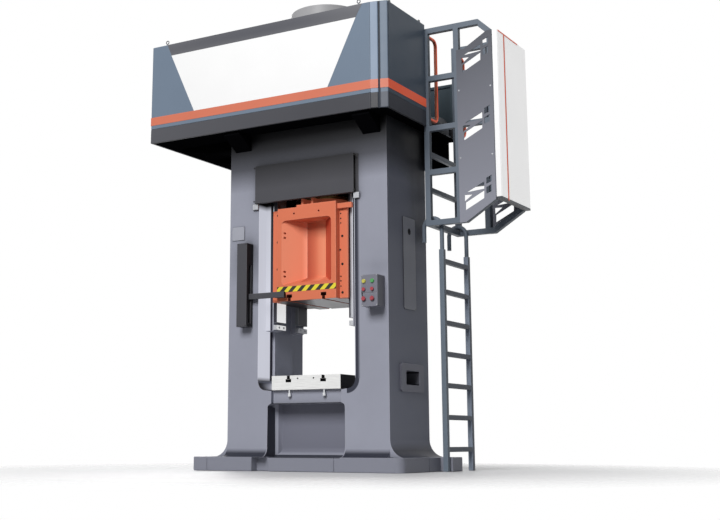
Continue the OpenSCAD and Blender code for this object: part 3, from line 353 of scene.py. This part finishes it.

# casting: painted light on the inner walls and rail pads beside a painted dark band, painted shade on the
# right side, plinth, coves, window edge and corner, bed pocket, port, holes and the line under the bed, a
# painted highlight on faces turned to the front right
wallX, wallZ, padY, pocketZ = (0.540, 0.550), (0.86, 2.985), (-0.294, -0.282), (0.132, 0.64)
wallParts = [{"box": {"X": wallX, "Y": (-0.42, -0.2055), "Z": wallZ}, "plain": "X"},
             {"box": {"X": wallX, "Y": (-0.164, -0.14), "Z": wallZ}, "plain": "X"},
             {"box": {"X": (0.489, 0.5475), "Y": padY, "Z": wallZ}, "plain": "X", "lean": [frontFace]},
             {"box": {"X": (0.4525, 0.4605), "Y": padY, "Z": wallZ}, "plain": "X", "lean": [frontFace]}]
# painted light: the inner walls and pad fronts glow, fading out near the window's bottom and into a painted
# shade under the cover
wallGlow = [{**part, "fade": [("Z", 0.858, 0.9), ("Z", 2.622, 2.568)]} for part in wallParts]
wallLight = {"zones": [(wallGlow, 0.6)], "colour": (0.86, 0.88, 1.0)}
# every patch of the casting below is painted light or shade laid on its grey paint
framePatches = {
    "rightSide": (rightSide, (0.222, 0.236, 0.297)),
    "slopes": (slopes, (0.36, 0.37, 0.44)),
    "plinth": ({"fade": [("Z", 0.19, 0.12)]}, (0.215, 0.222, 0.265)),
    "coveFoot": ({"box": {"X": (0.44, None), "Z": (0.1335, 0.34)}, "plain": "X", "lean": [("Z", 0.1, 0.62)]},
                 (0.026, 0.028, 0.041)),
    "windowEdge": ([{"box": {"X": (0.53, 0.61), "Y": (0.36, 0.4165), "Z": (0.856, 2.62)}, "plain": "Y",
                     "fade": [("X", 0.602, 0.578)]},
                    {"box": {"X": (0.455, None), "Y": (0.36, 0.4165), "Z": (None, 0.857)}, "plain": "Y",
                     "disc": ({"X": 0.455, "Z": 0.856}, 0.134)}], (0.035, 0.038, 0.055)),
    "windowCorner": ({"box": {"X": (0.39, 0.6), "Y": (None, -0.1), "Z": (0.71, 0.86)}, "plain": "X",
                      "fade": [("Y", -0.16, -0.38)], "lean": [("Z", 0.02, 0.2)]}, (0.012, 0.012, 0.016)),
    "portPad": ({"box": {"X": (0.906, None), "Y": (-0.212, 0.268), "Z": (0.70, 1.05)}, "plain": "X"},
                (0.255, 0.26, 0.31)),
    "portPadEdge": ({"box": {"X": (0.902, None), "Y": (-0.215, -0.17), "Z": (0.68, 1.07)}, "plain": "X",
                     "lean": [("Y", -0.2, -0.5)]}, (0.12, 0.122, 0.15)),
    "innerWalls": (wallParts, (0.10, 0.10, 0.11)),
    "portHole": ({"box": {"X": (0.70, 0.921), "Y": (-0.1115, 0.1675), "Z": (0.8025, 0.9335)}, "plain": "X"},
                 (0.01, 0.01, 0.014)),
    "coverHole": ({"box": {"X": (0.89, 0.907)}, "disc": ({"Y": 0.022, "Z": 2.277}, 0.021)},
                  (0.006, 0.006, 0.008)),
    "pocketBack": ({"box": {"X": (None, 0.44), "Y": (0.1, 0.26), "Z": pocketZ}, "plain": "XY",
                    "lean": [frontFace]}, (0.175, 0.18, 0.225)),
    "pocketLeft": ({"box": {"X": (-0.5, -0.36), "Y": (0.2, 0.505), "Z": pocketZ}, "plain": "Y",
                    "lean": [rightFace]}, (0.05, 0.052, 0.07)),
    "pocketFold": ({"box": {"X": (-0.407, -0.372), "Y": (0.2, 0.3), "Z": pocketZ}, "plain": "Y", **slopes},
                   (0.175, 0.18, 0.225)),
    "darkBand": ([{"box": {"X": wallX, "Y": (-0.2055, -0.164), "Z": (0.87, 2.985)}, "plain": "X"},
                  {"box": {"X": (0.4605, 0.489), "Y": padY, "Z": wallZ}, "plain": "X", "lean": [frontFace]}],
                 (0.03, 0.03, 0.045)),
    "bedLine": ({"box": {"X": (None, 0.43), "Y": (0.25, None), "Z": (0.126, 0.152)}, "plain": "XY"},
                (0.035, 0.037, 0.05)),
}

# slide: sloped pockets painted lighter on faces turned to the front right as highlight, a back painted
# lighter towards the right and darker towards its left fold as shade, a painted highlight along the fold,
# right wall painted dark as shade, bare steel foot with a painted shadow on its left part, slots painted dark
# as shade
dishBack = {"box": {"X": (None, 0.109), "Y": (0.1, 0.33), "Z": (1.75, 2.56)}, "plain": "XY"}
slideFoot = {"box": {"Z": (None, 1.6265)}, "lean": [underFace]}
slidePatches = {
    "slopes": (slopes, (0.88, 0.295, 0.175)),
    "foot": (slideFoot, (0.40, 0.40, 0.41)),
    "dishLight": ({**dishBack, "fade": [("X", -0.03, 0.08)]}, (0.74, 0.27, 0.155)),
    "dishFold": ({**dishBack, "fade": [("X", 0.03, -0.09), ("Z", 2.5, 2.25)]}, (0.42, 0.085, 0.046)),
    "dishLine": ({"box": {"X": (None, -0.105), "Y": (0.1, 0.4), "Z": (1.75, 2.56)}, "plain": "Y",
                  "fade": [("X", -0.145, -0.115)], **slopes}, (1.0, 0.40, 0.26)),
    "footShade": ({**slideFoot, "pattern": footSlant}, (0.03, 0.025, 0.028)),
    "dishRight": ({"box": {"X": (0.105, 0.29), "Y": (0.1, 0.4025), "Z": (1.76, 2.55)}, "plain": "Y",
                   "lean": [("X", -0.3, -0.55)]}, (0.50, 0.068, 0.033)),
    "slotHead": ({"box": {"X": (0.1635, 0.2265), "Z": (1.658, 1.6905)}, "plain": "X"}, (0.10, 0.018, 0.012)),
    "slotNeck": ({"box": {"X": (0.1785, 0.2115), "Z": (1.6255, 1.66)}, "plain": "X"}, (0.14, 0.03, 0.018)),
}
# painted light: a faint glow on the slide's boss above 2.58 m, under the cover
bossLight = {"zones": [({"fade": [("Z", 2.56, 2.58)]}, 0.1)], "colour": (0.72, 0.195, 0.105)}

# bolster, rails and rail keepers: painted shade on the bolster's right side and slots, on the front rails'
# front faces and on the rear keepers; painted light on the front rails' right sides, fading out under the
# cover, and on the front keepers' right sides
bolsterPatches = {
    "rightSide": (rightSide, (0.012, 0.012, 0.014)),
    "slots": ([{"box": {"X": (0.1785, 0.2115), "Z": (0.8645, 0.9022)}, "plain": "X"},
               {"box": {"X": (0.1635, 0.2265), "Z": (0.8385, 0.8665)}, "plain": "X"}], (0.008, 0.008, 0.01)),
}
railPatches = {"front": ({"box": {"X": (None, 0.43)}, "lean": [frontFace]}, (0.02, 0.02, 0.03))}
railLight = {"zones": [({"lean": [rightFace], "fade": [("Z", 2.59, 2.50)]}, 0.6)], "colour": white}
keeperPatches = {"rear": ({"box": {"Y": (0.0, None)}}, (0.36, 0.37, 0.40))}
keeperLight = {"zones": [({"box": {"Y": (None, 0.0)}, "lean": [rightFace]}, 0.45)], "colour": white}

# side cover, walkway, crown, screen and ladder, with painted light and shade as marked below
# side cover: its hole and its left and lower edges painted dark as shade
coverPatches = {
    "hole": ({"box": {"X": (0.9, None)}, "disc": ({"Y": 0.022, "Z": 2.277}, 0.032)}, (0.006, 0.006, 0.008)),
    "edge": ([{"box": {"X": (0.89, None)}, "lean": [(axis, -0.2, -0.5)]} for axis in "YZ"],
             (0.05, 0.05, 0.06)),
}
# tread plate: lighter grey on its top faces than its near-black underside, painted light and shade; the worn
# bar tops lighter still
treadPatches = {"top": ({"lean": [topFace]}, (0.045, 0.047, 0.053)),
                "bars": ({"lean": [topFace], "pattern": treadBars}, (0.085, 0.088, 0.096))}
# skirt: painted light, lighter towards the left and on its right side face
skirtPatches = {"left": ({"fade": [("X", 0.4, -1.7)]}, (0.086, 0.087, 0.098)),
                "rightSide": (rightSide, (0.082, 0.088, 0.108))}
# crown panels: the rear panel's inner face painted dark as shade
crownPatches = {"inside": ({"box": {"Y": (0.80, 0.9085)}, "lean": [frontFace]}, (0.05, 0.072, 0.088))}
# corner post: its right band painted darker as shade, blue above the skirt and grey within it, the groove
# painted dark as shade; below the panels the left band takes the skirt's dark colour
cornerPatches = {
    "right": ({"box": {"X": (0.977, None)}}, (0.132, 0.172, 0.228)),
    "foot": ({"box": {"X": (None, 0.956), "Z": (None, 3.505)}}, (0.037, 0.0375, 0.043)),
    "footRight": ({"box": {"X": (0.977, None), "Z": (None, 3.505)}}, (0.087, 0.098, 0.123)),
    "groove": ({"box": {"X": (0.9566, 0.9764)}}, (0.03, 0.035, 0.045)),
}
screenPatches = {"foot": ({"box": {"X": (1.7, None), "Z": (None, 2.561)}}, (0.055, 0.06, 0.068))}
# ladder stiles: the far stile's front painted lighter as painted light, its right side darker as painted
# shade
stilePatches = {"far": ({"box": {"Y": (0.6, None)}, "lean": [frontFace]}, (0.29, 0.34, 0.42)),
                "farRight": ({"box": {"Y": (0.6, None)}, "lean": [rightFace]}, (0.085, 0.1, 0.13))}

finishes = {
    # casting: painted shade in hollows and under the crown, painted light on the inner walls, and the patches
    # above
    "frame_grey": paintFinish("framePaint", (0.295, 0.305, 0.365), rough=0.45, mottle=0.04, edge=0.012,
                              wearGlint=0.35, patches=framePatches, shadow=(0.6, 0.1), lit=wallLight),
    "slide_orange": paintFinish("slidePaint", (0.66, 0.178, 0.094), mottle=0.04, edge=0.008,
                                patches=slidePatches, lit=bossLight),
    # bolster and rails: painted shade and painted light from the zones set above
    "bolster_steel": metalFinish("bolsterSteel", (0.80, 0.80, 0.79), rough=0.45, stretch=(8, 160, 160),
                                 metallic=0.0, sheen=0.1, patches=bolsterPatches),
    "bright_steel": metalFinish("brightSteel", (0.62, 0.63, 0.65), rough=0.3),
    "rail_steel": metalFinish("railSteel", (0.40, 0.41, 0.44), rough=0.42, metallic=0.3),
    # front rails: the rail steel with painted shade on their fronts and painted light on their right sides
    "frontRail": metalFinish("frontRailSteel", (0.40, 0.41, 0.44), rough=0.42, metallic=0.3,
                             patches=railPatches, lit=railLight),
    # rear rails: a darker, shaded copy of the rail steel, their right sides painted dark as shade
    "rearRail": metalFinish("rearRailSteel", (0.30, 0.31, 0.33), rough=0.42, metallic=0.3, sheen=0.1,
                            patches={"rightSide": (rightSide, (0.04, 0.04, 0.047))}),
    "keeper": metalFinish("keeperSteel", (0.46, 0.47, 0.49), rough=0.4, metallic=0.3,
                          patches=keeperPatches, lit=keeperLight),
    # front and rear covers: right side painted near black as shade, painted shade in hollows and under the
    # crown
    "cover_dark": paintFinish("coverPaint", (0.064, 0.064, 0.073), rough=0.5, grain=600, bump=0.12,
                              patches={"rightSide": (rightSide, (0.012, 0.012, 0.014))}, shadow=(0.4, 0.4)),
    "plate_grey": paintFinish("platePaint", (0.34, 0.35, 0.40), rough=0.45, patches=coverPatches),
    "control_grey": paintFinish("controlPaint", (0.19, 0.192, 0.23), grain=700),
    "lamp_lens": plasticFinish("lampLens", (0.50, 0.46, 0.07), rough=0.2, glow=0.05,
                               patches={"right": ({"box": {"X": (0.773, None)}}, (0.06, 0.30, 0.08))}),
    "button_red": plasticFinish("buttonRed", (0.34, 0.028, 0.045)),
    # walkway parts: near black, painted shade for their shaded undersides
    "deck_black": paintFinish("deckPaint", (0.004, 0.004, 0.005), rough=0.7, wearGlint=0.0, sheen=0.0),
    "deckTread": paintFinish("deckTread", (0.004, 0.004, 0.005), rough=0.7, wearGlint=0.04, sheen=0.0,
                             patches=treadPatches),
    "skirt_dark": paintFinish("skirtPaint", (0.054, 0.055, 0.064), rough=0.45, patches=skirtPatches),
    "crown_blue": paintFinish("crownPaint", (0.152, 0.196, 0.258), rough=0.4, mottle=0.03,
                              patches=crownPatches),
    # corner post: a lighter copy of the crown's blue, a painted highlight on the rounded corner
    "crown_light": paintFinish("cornerPaint", (0.215, 0.275, 0.37), rough=0.38, mottle=0.03,
                               patches=cornerPatches),
    # orange stripe: its right side painted a brighter red and given a glow, painted light
    "trim_orange": paintFinish("trimPaint", (0.60, 0.176, 0.108), rough=0.38, mottle=0.03, wearGlint=0.15,
                               patches={"rightSide": (rightSide, (0.86, 0.13, 0.06))},
                               lit={"zones": [(rightSide, 0.34)], "colour": (0.86, 0.13, 0.06)}),
    "sign_white": paintFinish("signPaint", (0.85, 0.85, 0.85), rough=0.4, mottle=0.015, wearGlint=0.1),
    # screen: a faint painted glow on all faces but the underside and a stronger one on its right side,
    # painted light
    "screen": paintFinish("screenPaint", (0.86, 0.86, 0.86), rough=0.4, mottle=0.015, wearGlint=0.1,
                          patches=screenPatches,
                          lit={"zones": [({"lean": [offUnder]}, 0.12), (rightSide, 0.55)]}),
    "drive_grey": paintFinish("drivePaint", (0.22, 0.24, 0.28), rough=0.45),
    "winding": paintFinish("windingVarnish", (0.22, 0.13, 0.08), rough=0.4),
    "rotor_iron": metalFinish("rotorIron", (0.30, 0.30, 0.31), rough=0.45),
    "cap_grey": paintFinish("capPaint", (0.335, 0.335, 0.345), rough=0.4, mottle=0.03),
    "tube_blue": paintFinish("tubePaint", (0.128, 0.154, 0.19), rough=0.4, mottle=0.04, edge=0.005),
    # ladder: the stiles are a lighter copy of the rungs' paint, painted light
    "ladder": paintFinish("ladderPaint", (0.138, 0.170, 0.208), mottle=0.04, edge=0.005,
                          patches=stilePatches),
    "rung": paintFinish("rungPaint", (0.080, 0.095, 0.126), mottle=0.04, edge=0.005),
    "eyeSteel": metalFinish("eyeSteel", (0.10, 0.105, 0.115), rough=0.4, metallic=0.5),
    "conduit": paintFinish("conduitPaint", (0.20, 0.21, 0.225), rough=0.4),
    # cage: painted shade, darker towards the top under the crown and lighter below 2.5 m
    "tube_light": paintFinish("cagePaint", (0.08, 0.085, 0.102), mottle=0.04, edge=0.004,
                              patches={"low": ({"fade": [("Z", 4.2, 2.5)]}, (0.255, 0.262, 0.31))}),
    "hazard_yellow": paintFinish("hazardBase", (0.78, 0.66, 0.05), rough=0.4, wearGlint=0.1,
                                 patches={"bars": ({"pattern": slantBars}, (0.035, 0.035, 0.03))}),
    "bronze": metalFinish("bronze", (0.60, 0.42, 0.18), rough=0.35),
}
blackSteel = paintFinish("blackSteel", (0.012, 0.010, 0.010), rough=0.5, wearGlint=0.05, sheen=0.1)
greySteel = metalFinish("greySteel", (0.26, 0.27, 0.29), rough=0.4, metallic=0.6)
headerPaint = paintFinish("headerPaint", (0.092, 0.094, 0.108), mottle=0.03)
print("finishes made:", len(finishes))


def dress(obj, finish):
    obj.data.materials.clear()
    obj.data.materials.append(finish)


# new pieces
smoothAngle = math.radians(32)


def keepPiece(name, bm, body, finish):
    mesh = bpy.data.meshes.new(name)
    bm.normal_update()
    bm.to_mesh(mesh)
    bm.free()
    mesh.shade_smooth()
    mesh.set_sharp_from_angle(angle=smoothAngle)
    piece = bpy.data.objects.new(name, mesh)
    scene.collection.objects.link(piece)
    dress(piece, finish)
    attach(piece, body)
    return piece


# a node's own solid again, with its edges broken as a maker would break them
softRule = {"merge": 1e-5, "flat": math.radians(0.6), "sharp": math.radians(28), "shortest": 2.2,
            "segments": 2}


def softenNode(node, width, finish):
    bm = bmesh.new()
    bm.from_mesh(nodes[node].data)
    bmesh.ops.remove_doubles(bm, verts=bm.verts, dist=softRule["merge"])
    bmesh.ops.dissolve_limit(bm, angle_limit=softRule["flat"], verts=bm.verts, edges=bm.edges)
    sharp = [e for e in bm.edges if len(e.link_faces) == 2 and e.calc_face_angle(0) > softRule["sharp"]
             and e.calc_length() > softRule["shortest"] * width]
    bmesh.ops.bevel(bm, geom=sharp, offset=width, offset_type="OFFSET", segments=softRule["segments"],
                    profile=0.5, affect="EDGES", clamp_overlap=False, material=-1)
    piece = keepPiece(node + "_soft", bm, bodyOf[node], finish)
    weighted = piece.modifiers.new("flatFaces", "WEIGHTED_NORMAL")
    weighted.keep_sharp = True
    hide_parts(node)


# width of each node's broken edges
softSet = {"frame_body": 0.007, "bolster_plate": 0.003, "front_cover": 0.004, "rear_cover": 0.004,
           "sensor_housing": 0.005, "control_box": 0.005, "side_cover": 0.002, "column_plaque": 0.002,
           "deck_skirt": 0.006, "front_panel": 0.007, "right_panel": 0.007, "left_panel": 0.007,
           "rear_panel": 0.007, "corner_post": 0.007, "cage_front_frame": 0.004, "cage_rear_frame": 0.004,
           "cage_rungs": 0.004, "cage_plates": 0.0015, "cage_screen": 0.004, "ladder_stiles": 0.003,
           "ladder_rungs": 0.004, "slide_body": 0.005, "wiper_bar": 0.003, "sensor_arm": 0.003,
           "motor_cap": 0.008, "cover_rests": 0.003, "rail_keepers": 0.003, "front_rails": 0.002,
           "rear_rails": 0.002, "deck_brackets": 0.004, "wing_plates": 0.003}
# nodes that wear another finish than their slot's
coatOf = {"ladder_stiles": "ladder", "ladder_rungs": "rung", "panel_eyes": "eyeSteel",
          "conduit_elbow": "conduit", "front_rails": "frontRail", "rear_rails": "rearRail",
          "rail_keepers": "keeper", "deck_plate": "deckTread", "cage_screen": "screen"}
for node in nodes:
    dress(nodes[node], finishes[coatOf.get(node, slotOf[node])])
for node, width in softSet.items():
    softenNode(node, width, finishes[coatOf.get(node, slotOf[node])])
print("edges broken on", len(softSet), "nodes")


# a turned shape: a profile of (radius, height) spun about an axis through a place
def addTurned(bm, profile, place, axis, steps=20):
    line = [bm.verts.new((r, 0, h)) for r, h in profile]
    edges = [bm.edges.new(pair) for pair in zip(line, line[1:])]
    bmesh.ops.spin(bm, geom=line + edges, cent=(0, 0, 0), axis=(0, 0, 1), angle=math.tau, steps=steps,
                   use_merge=True)
    turned, grow = set(line), list(line)
    while grow:
        vert = grow.pop()
        for edge in vert.link_edges:
            far = edge.other_vert(vert)
            if far not in turned:
                turned.add(far)
                grow.append(far)
    turn = Vector((0, 0, 1)).rotation_difference(Vector(axis)).to_matrix().to_4x4()
    bmesh.ops.transform(bm, matrix=Matrix.Translation(place) @ turn, verts=list(turned))


# socket screws standing a little proud of a face, each with its recess
screwSink = 0.0005


def addScrews(name, node, places, axis, radius, proud, finish):
    bm = bmesh.new()
    profile = [(0, proud * 0.2), (radius * 0.5, proud * 0.2), (radius * 0.5, proud), (radius * 0.86, proud),
               (radius, proud * 0.8), (radius, -screwSink), (0, -screwSink)]
    for place in places:
        addTurned(bm, profile, place, axis)
    bmesh.ops.remove_doubles(bm, verts=bm.verts, dist=1e-6)
    bmesh.ops.recalc_face_normals(bm, faces=bm.faces)
    keepPiece(name, bm, bodyOf[node], finish)


# screws of the four wing plates: radius, place from the middle, heights read off the photograph
wingSet = {"face": 0.339, "proud": 0.004,
           "screws": {"large": (0.012, 0.371, (2.504, 2.231, 1.958, 1.682)),
                      "middle": (0.009, 0.349, (2.098,)),
                      "small": (0.007, 0.354, (2.455, 2.406, 2.361, 1.838, 1.794, 1.744))}}
for size, (radius, x, heights) in wingSet["screws"].items():
    for side, turnY in (("Front", -1), ("Rear", 1)):
        places = [(turnX * x, turnY * wingSet["face"], z) for turnX in (-1, 1) for z in heights]
        addScrews(size + "WingScrews" + side, "wing_plates", places, (0, turnY, 0), radius, wingSet["proud"],
                  blackSteel)

# screws of the plates and boxes on the frame: node, places, axis, radius, proud, finish
coverX, coverZ = (-0.578, 0.578), (2.645, 2.99)
plateSet = {
    "sideCover": ("side_cover", [(0.913, y, z) for y in (-0.09, 0.134) for z in (1.534, 1.82, 2.11, 2.397)],
                  (1, 0, 0), 0.007, 0.003, greySteel),
    "plaque": ("column_plaque", [(x, -0.423, z) for x in (-0.861, -0.734) for z in (2.286, 2.403)],
               (0, -1, 0), 0.004, 0.002, greySteel),
    "control": ("control_box", [(x, -0.565, z) for x in (0.709, 0.861) for z in (1.513, 1.791)],
                (0, -1, 0), 0.005, 0.002, greySteel),
    "sensor": ("sensor_housing", [(x, -0.530, z) for x in (-0.724, -0.626) for z in (1.400, 2.210)],
               (0, -1, 0), 0.005, 0.002, blackSteel),
    "cover": ("front_cover", [(x, -0.465, z) for x in coverX for z in coverZ],
              (0, -1, 0), 0.008, 0.003, blackSteel),
    "rearCover": ("rear_cover", [(x, 0.465, z) for x in coverX for z in coverZ],
                  (0, 1, 0), 0.008, 0.003, blackSteel),
}
for name, screws in plateSet.items():
    addScrews(name + "Screws", *screws)

# bolts of the rail keepers and of the cage's plates
keeperSet = {"x": 0.411, "y": (0.162, 0.246), "z": 1.39, "radius": 0.011, "proud": 0.004}
for side, turnX in (("Left", -1), ("Right", 1)):
    places = [(turnX * keeperSet["x"], turnY * y, keeperSet["z"])
              for turnY in (-1, 1) for y in keeperSet["y"]]
    addScrews("keeperBolts" + side, "rail_keepers", places, (-turnX, 0, 0), keeperSet["radius"],
              keeperSet["proud"], greySteel)
cageSet = {"x": (1.412, 1.744), "z": (2.98, 3.66), "Front": 0.161, "Rear": 0.919, "radius": 0.009,
           "proud": 0.004}
for side, turnY in (("Front", -1), ("Rear", 1)):
    places = [(x, cageSet[side], z) for x in cageSet["x"] for z in cageSet["z"]]
    addScrews("cageBolts" + side, "cage_plates", places, (0, turnY, 0), cageSet["radius"],
              cageSet["proud"], greySteel)

# ring grille and lid bolts on the motor's cap
capSet = {"top": 4.645, "rings": (0.075, 0.115, 0.155, 0.195, 0.235), "half": 0.007, "high": 0.006,
          "sink": 0.001, "steps": 64, "bolts": 8, "boltAt": 0.315, "boltRadius": 0.012, "boltProud": 0.006}
half, high, sink = capSet["half"], capSet["high"], capSet["sink"]
grilleBm = bmesh.new()
for r in capSet["rings"]:
    ring = [(r - half, -sink), (r - half, high * 0.7), (r - half * 0.6, high), (r + half * 0.6, high),
            (r + half, high * 0.7), (r + half, -sink)]
    addTurned(grilleBm, ring, (0, 0, capSet["top"]), (0, 0, 1), steps=capSet["steps"])
bmesh.ops.recalc_face_normals(grilleBm, faces=grilleBm.faces)
keepPiece("capGrille", grilleBm, bodyOf["motor_cap"], finishes["cap_grey"])
turns = [math.tau * k / capSet["bolts"] for k in range(capSet["bolts"])]
places = [(capSet["boltAt"] * math.cos(a), capSet["boltAt"] * math.sin(a), capSet["top"]) for a in turns]
addScrews("capBolts", "motor_cap", places, (0, 0, 1), capSet["boltRadius"], capSet["boltProud"], greySteel)

# dark header above the sign, a thin sheet with leaning ends
headerSet = {"corners": [(-1.555, 4.408), (0.801, 4.408), (0.730, 4.281), (-1.497, 4.281)], "front": -0.690,
             "thick": 0.002, "round": 0.0008}
headerBm = bmesh.new()
headerLine = [headerBm.verts.new((x, headerSet["front"], z)) for x, z in headerSet["corners"]]
headerOut = bmesh.ops.extrude_face_region(headerBm, geom=[headerBm.faces.new(headerLine)])
headerFar = [v for v in headerOut["geom"] if isinstance(v, bmesh.types.BMVert)]
bmesh.ops.translate(headerBm, verts=headerFar, vec=(0, -headerSet["thick"], 0))
headerRim = [e for e in headerBm.edges if all(v in headerFar for v in e.verts)]
bmesh.ops.bevel(headerBm, geom=headerRim, offset=headerSet["round"], offset_type="OFFSET", segments=2,
                profile=0.5, affect="EDGES", clamp_overlap=True, material=-1)
bmesh.ops.recalc_face_normals(headerBm, faces=headerBm.faces)
keepPiece("crownHeader", headerBm, bodyOf["front_panel"], headerPaint)

# ribbed treads on the ladder's rungs
rungSet = {"x": (1.136, 1.174), "y": (0.30, 0.78), "ribs": 16, "half": 0.005, "sink": 0.0005, "rise": 0.0022,
           "round": 0.0008, "first": 0.225, "pitch": 0.3, "rungs": 7}
gripBm = bmesh.new()
for i in range(rungSet["rungs"]):
    z = rungSet["first"] + i * rungSet["pitch"]
    for k in range(rungSet["ribs"]):
        y = rungSet["y"][0] + (rungSet["y"][1] - rungSet["y"][0]) * (k + 0.5) / rungSet["ribs"]
        low = Vector((rungSet["x"][0], y - rungSet["half"], z - rungSet["sink"]))
        high = Vector((rungSet["x"][1], y + rungSet["half"], z + rungSet["rise"]))
        grid = Matrix.Translation((low + high) / 2) @ Matrix.Diagonal((*(high - low), 1))
        bmesh.ops.create_cube(gripBm, size=1, matrix=grid)
bmesh.ops.bevel(gripBm, geom=list(gripBm.edges), offset=rungSet["round"], offset_type="OFFSET", segments=1,
                profile=0.5, affect="EDGES", clamp_overlap=True, material=-1)
keepPiece("rungTreads", gripBm, bodyOf["ladder_rungs"], finishes["rung"])
print("detail pieces added")

# floor, pale near the press and fading into the white backdrop further out
floorSet = {"half": 60, "drop": 0.002, "paleTo": 1.8, "clearFrom": 4.6, "colour": (0.70, 0.70, 0.71),
            "rough": 0.5}
floorBm = bmesh.new()
bmesh.ops.create_grid(floorBm, x_segments=1, y_segments=1, size=floorSet["half"])
floorMesh = bpy.data.meshes.new("studioFloor")
floorBm.to_mesh(floorMesh)
floorBm.free()
studioFloor = bpy.data.objects.new("studioFloor", floorMesh)
studioFloor.location.z = -floorSet["drop"]
scene.collection.objects.link(studioFloor)
floorFinish, floorTree, floorShader, floorCoord = startFinish("floorFinish")
reach = addNode(floorTree, "ShaderNodeVectorMath", [(floorCoord, 0)], operation="LENGTH").outputs["Value"]
away = mapStep(floorTree, reach, floorSet["paleTo"], floorSet["clearFrom"])
clear = addNode(floorTree, "ShaderNodeBsdfTransparent").outputs[0]
blend = addNode(floorTree, "ShaderNodeMixShader", [(away, 0), (floorShader.outputs[0], 1), (clear, 2)])
floorTree.links.new(blend.outputs[0], floorTree.nodes["Material Output"].inputs["Surface"])
floorShader.inputs["Base Color"].default_value = shade(floorSet["colour"])
floorShader.inputs["Roughness"].default_value = floorSet["rough"]
dress(studioFloor, floorFinish)
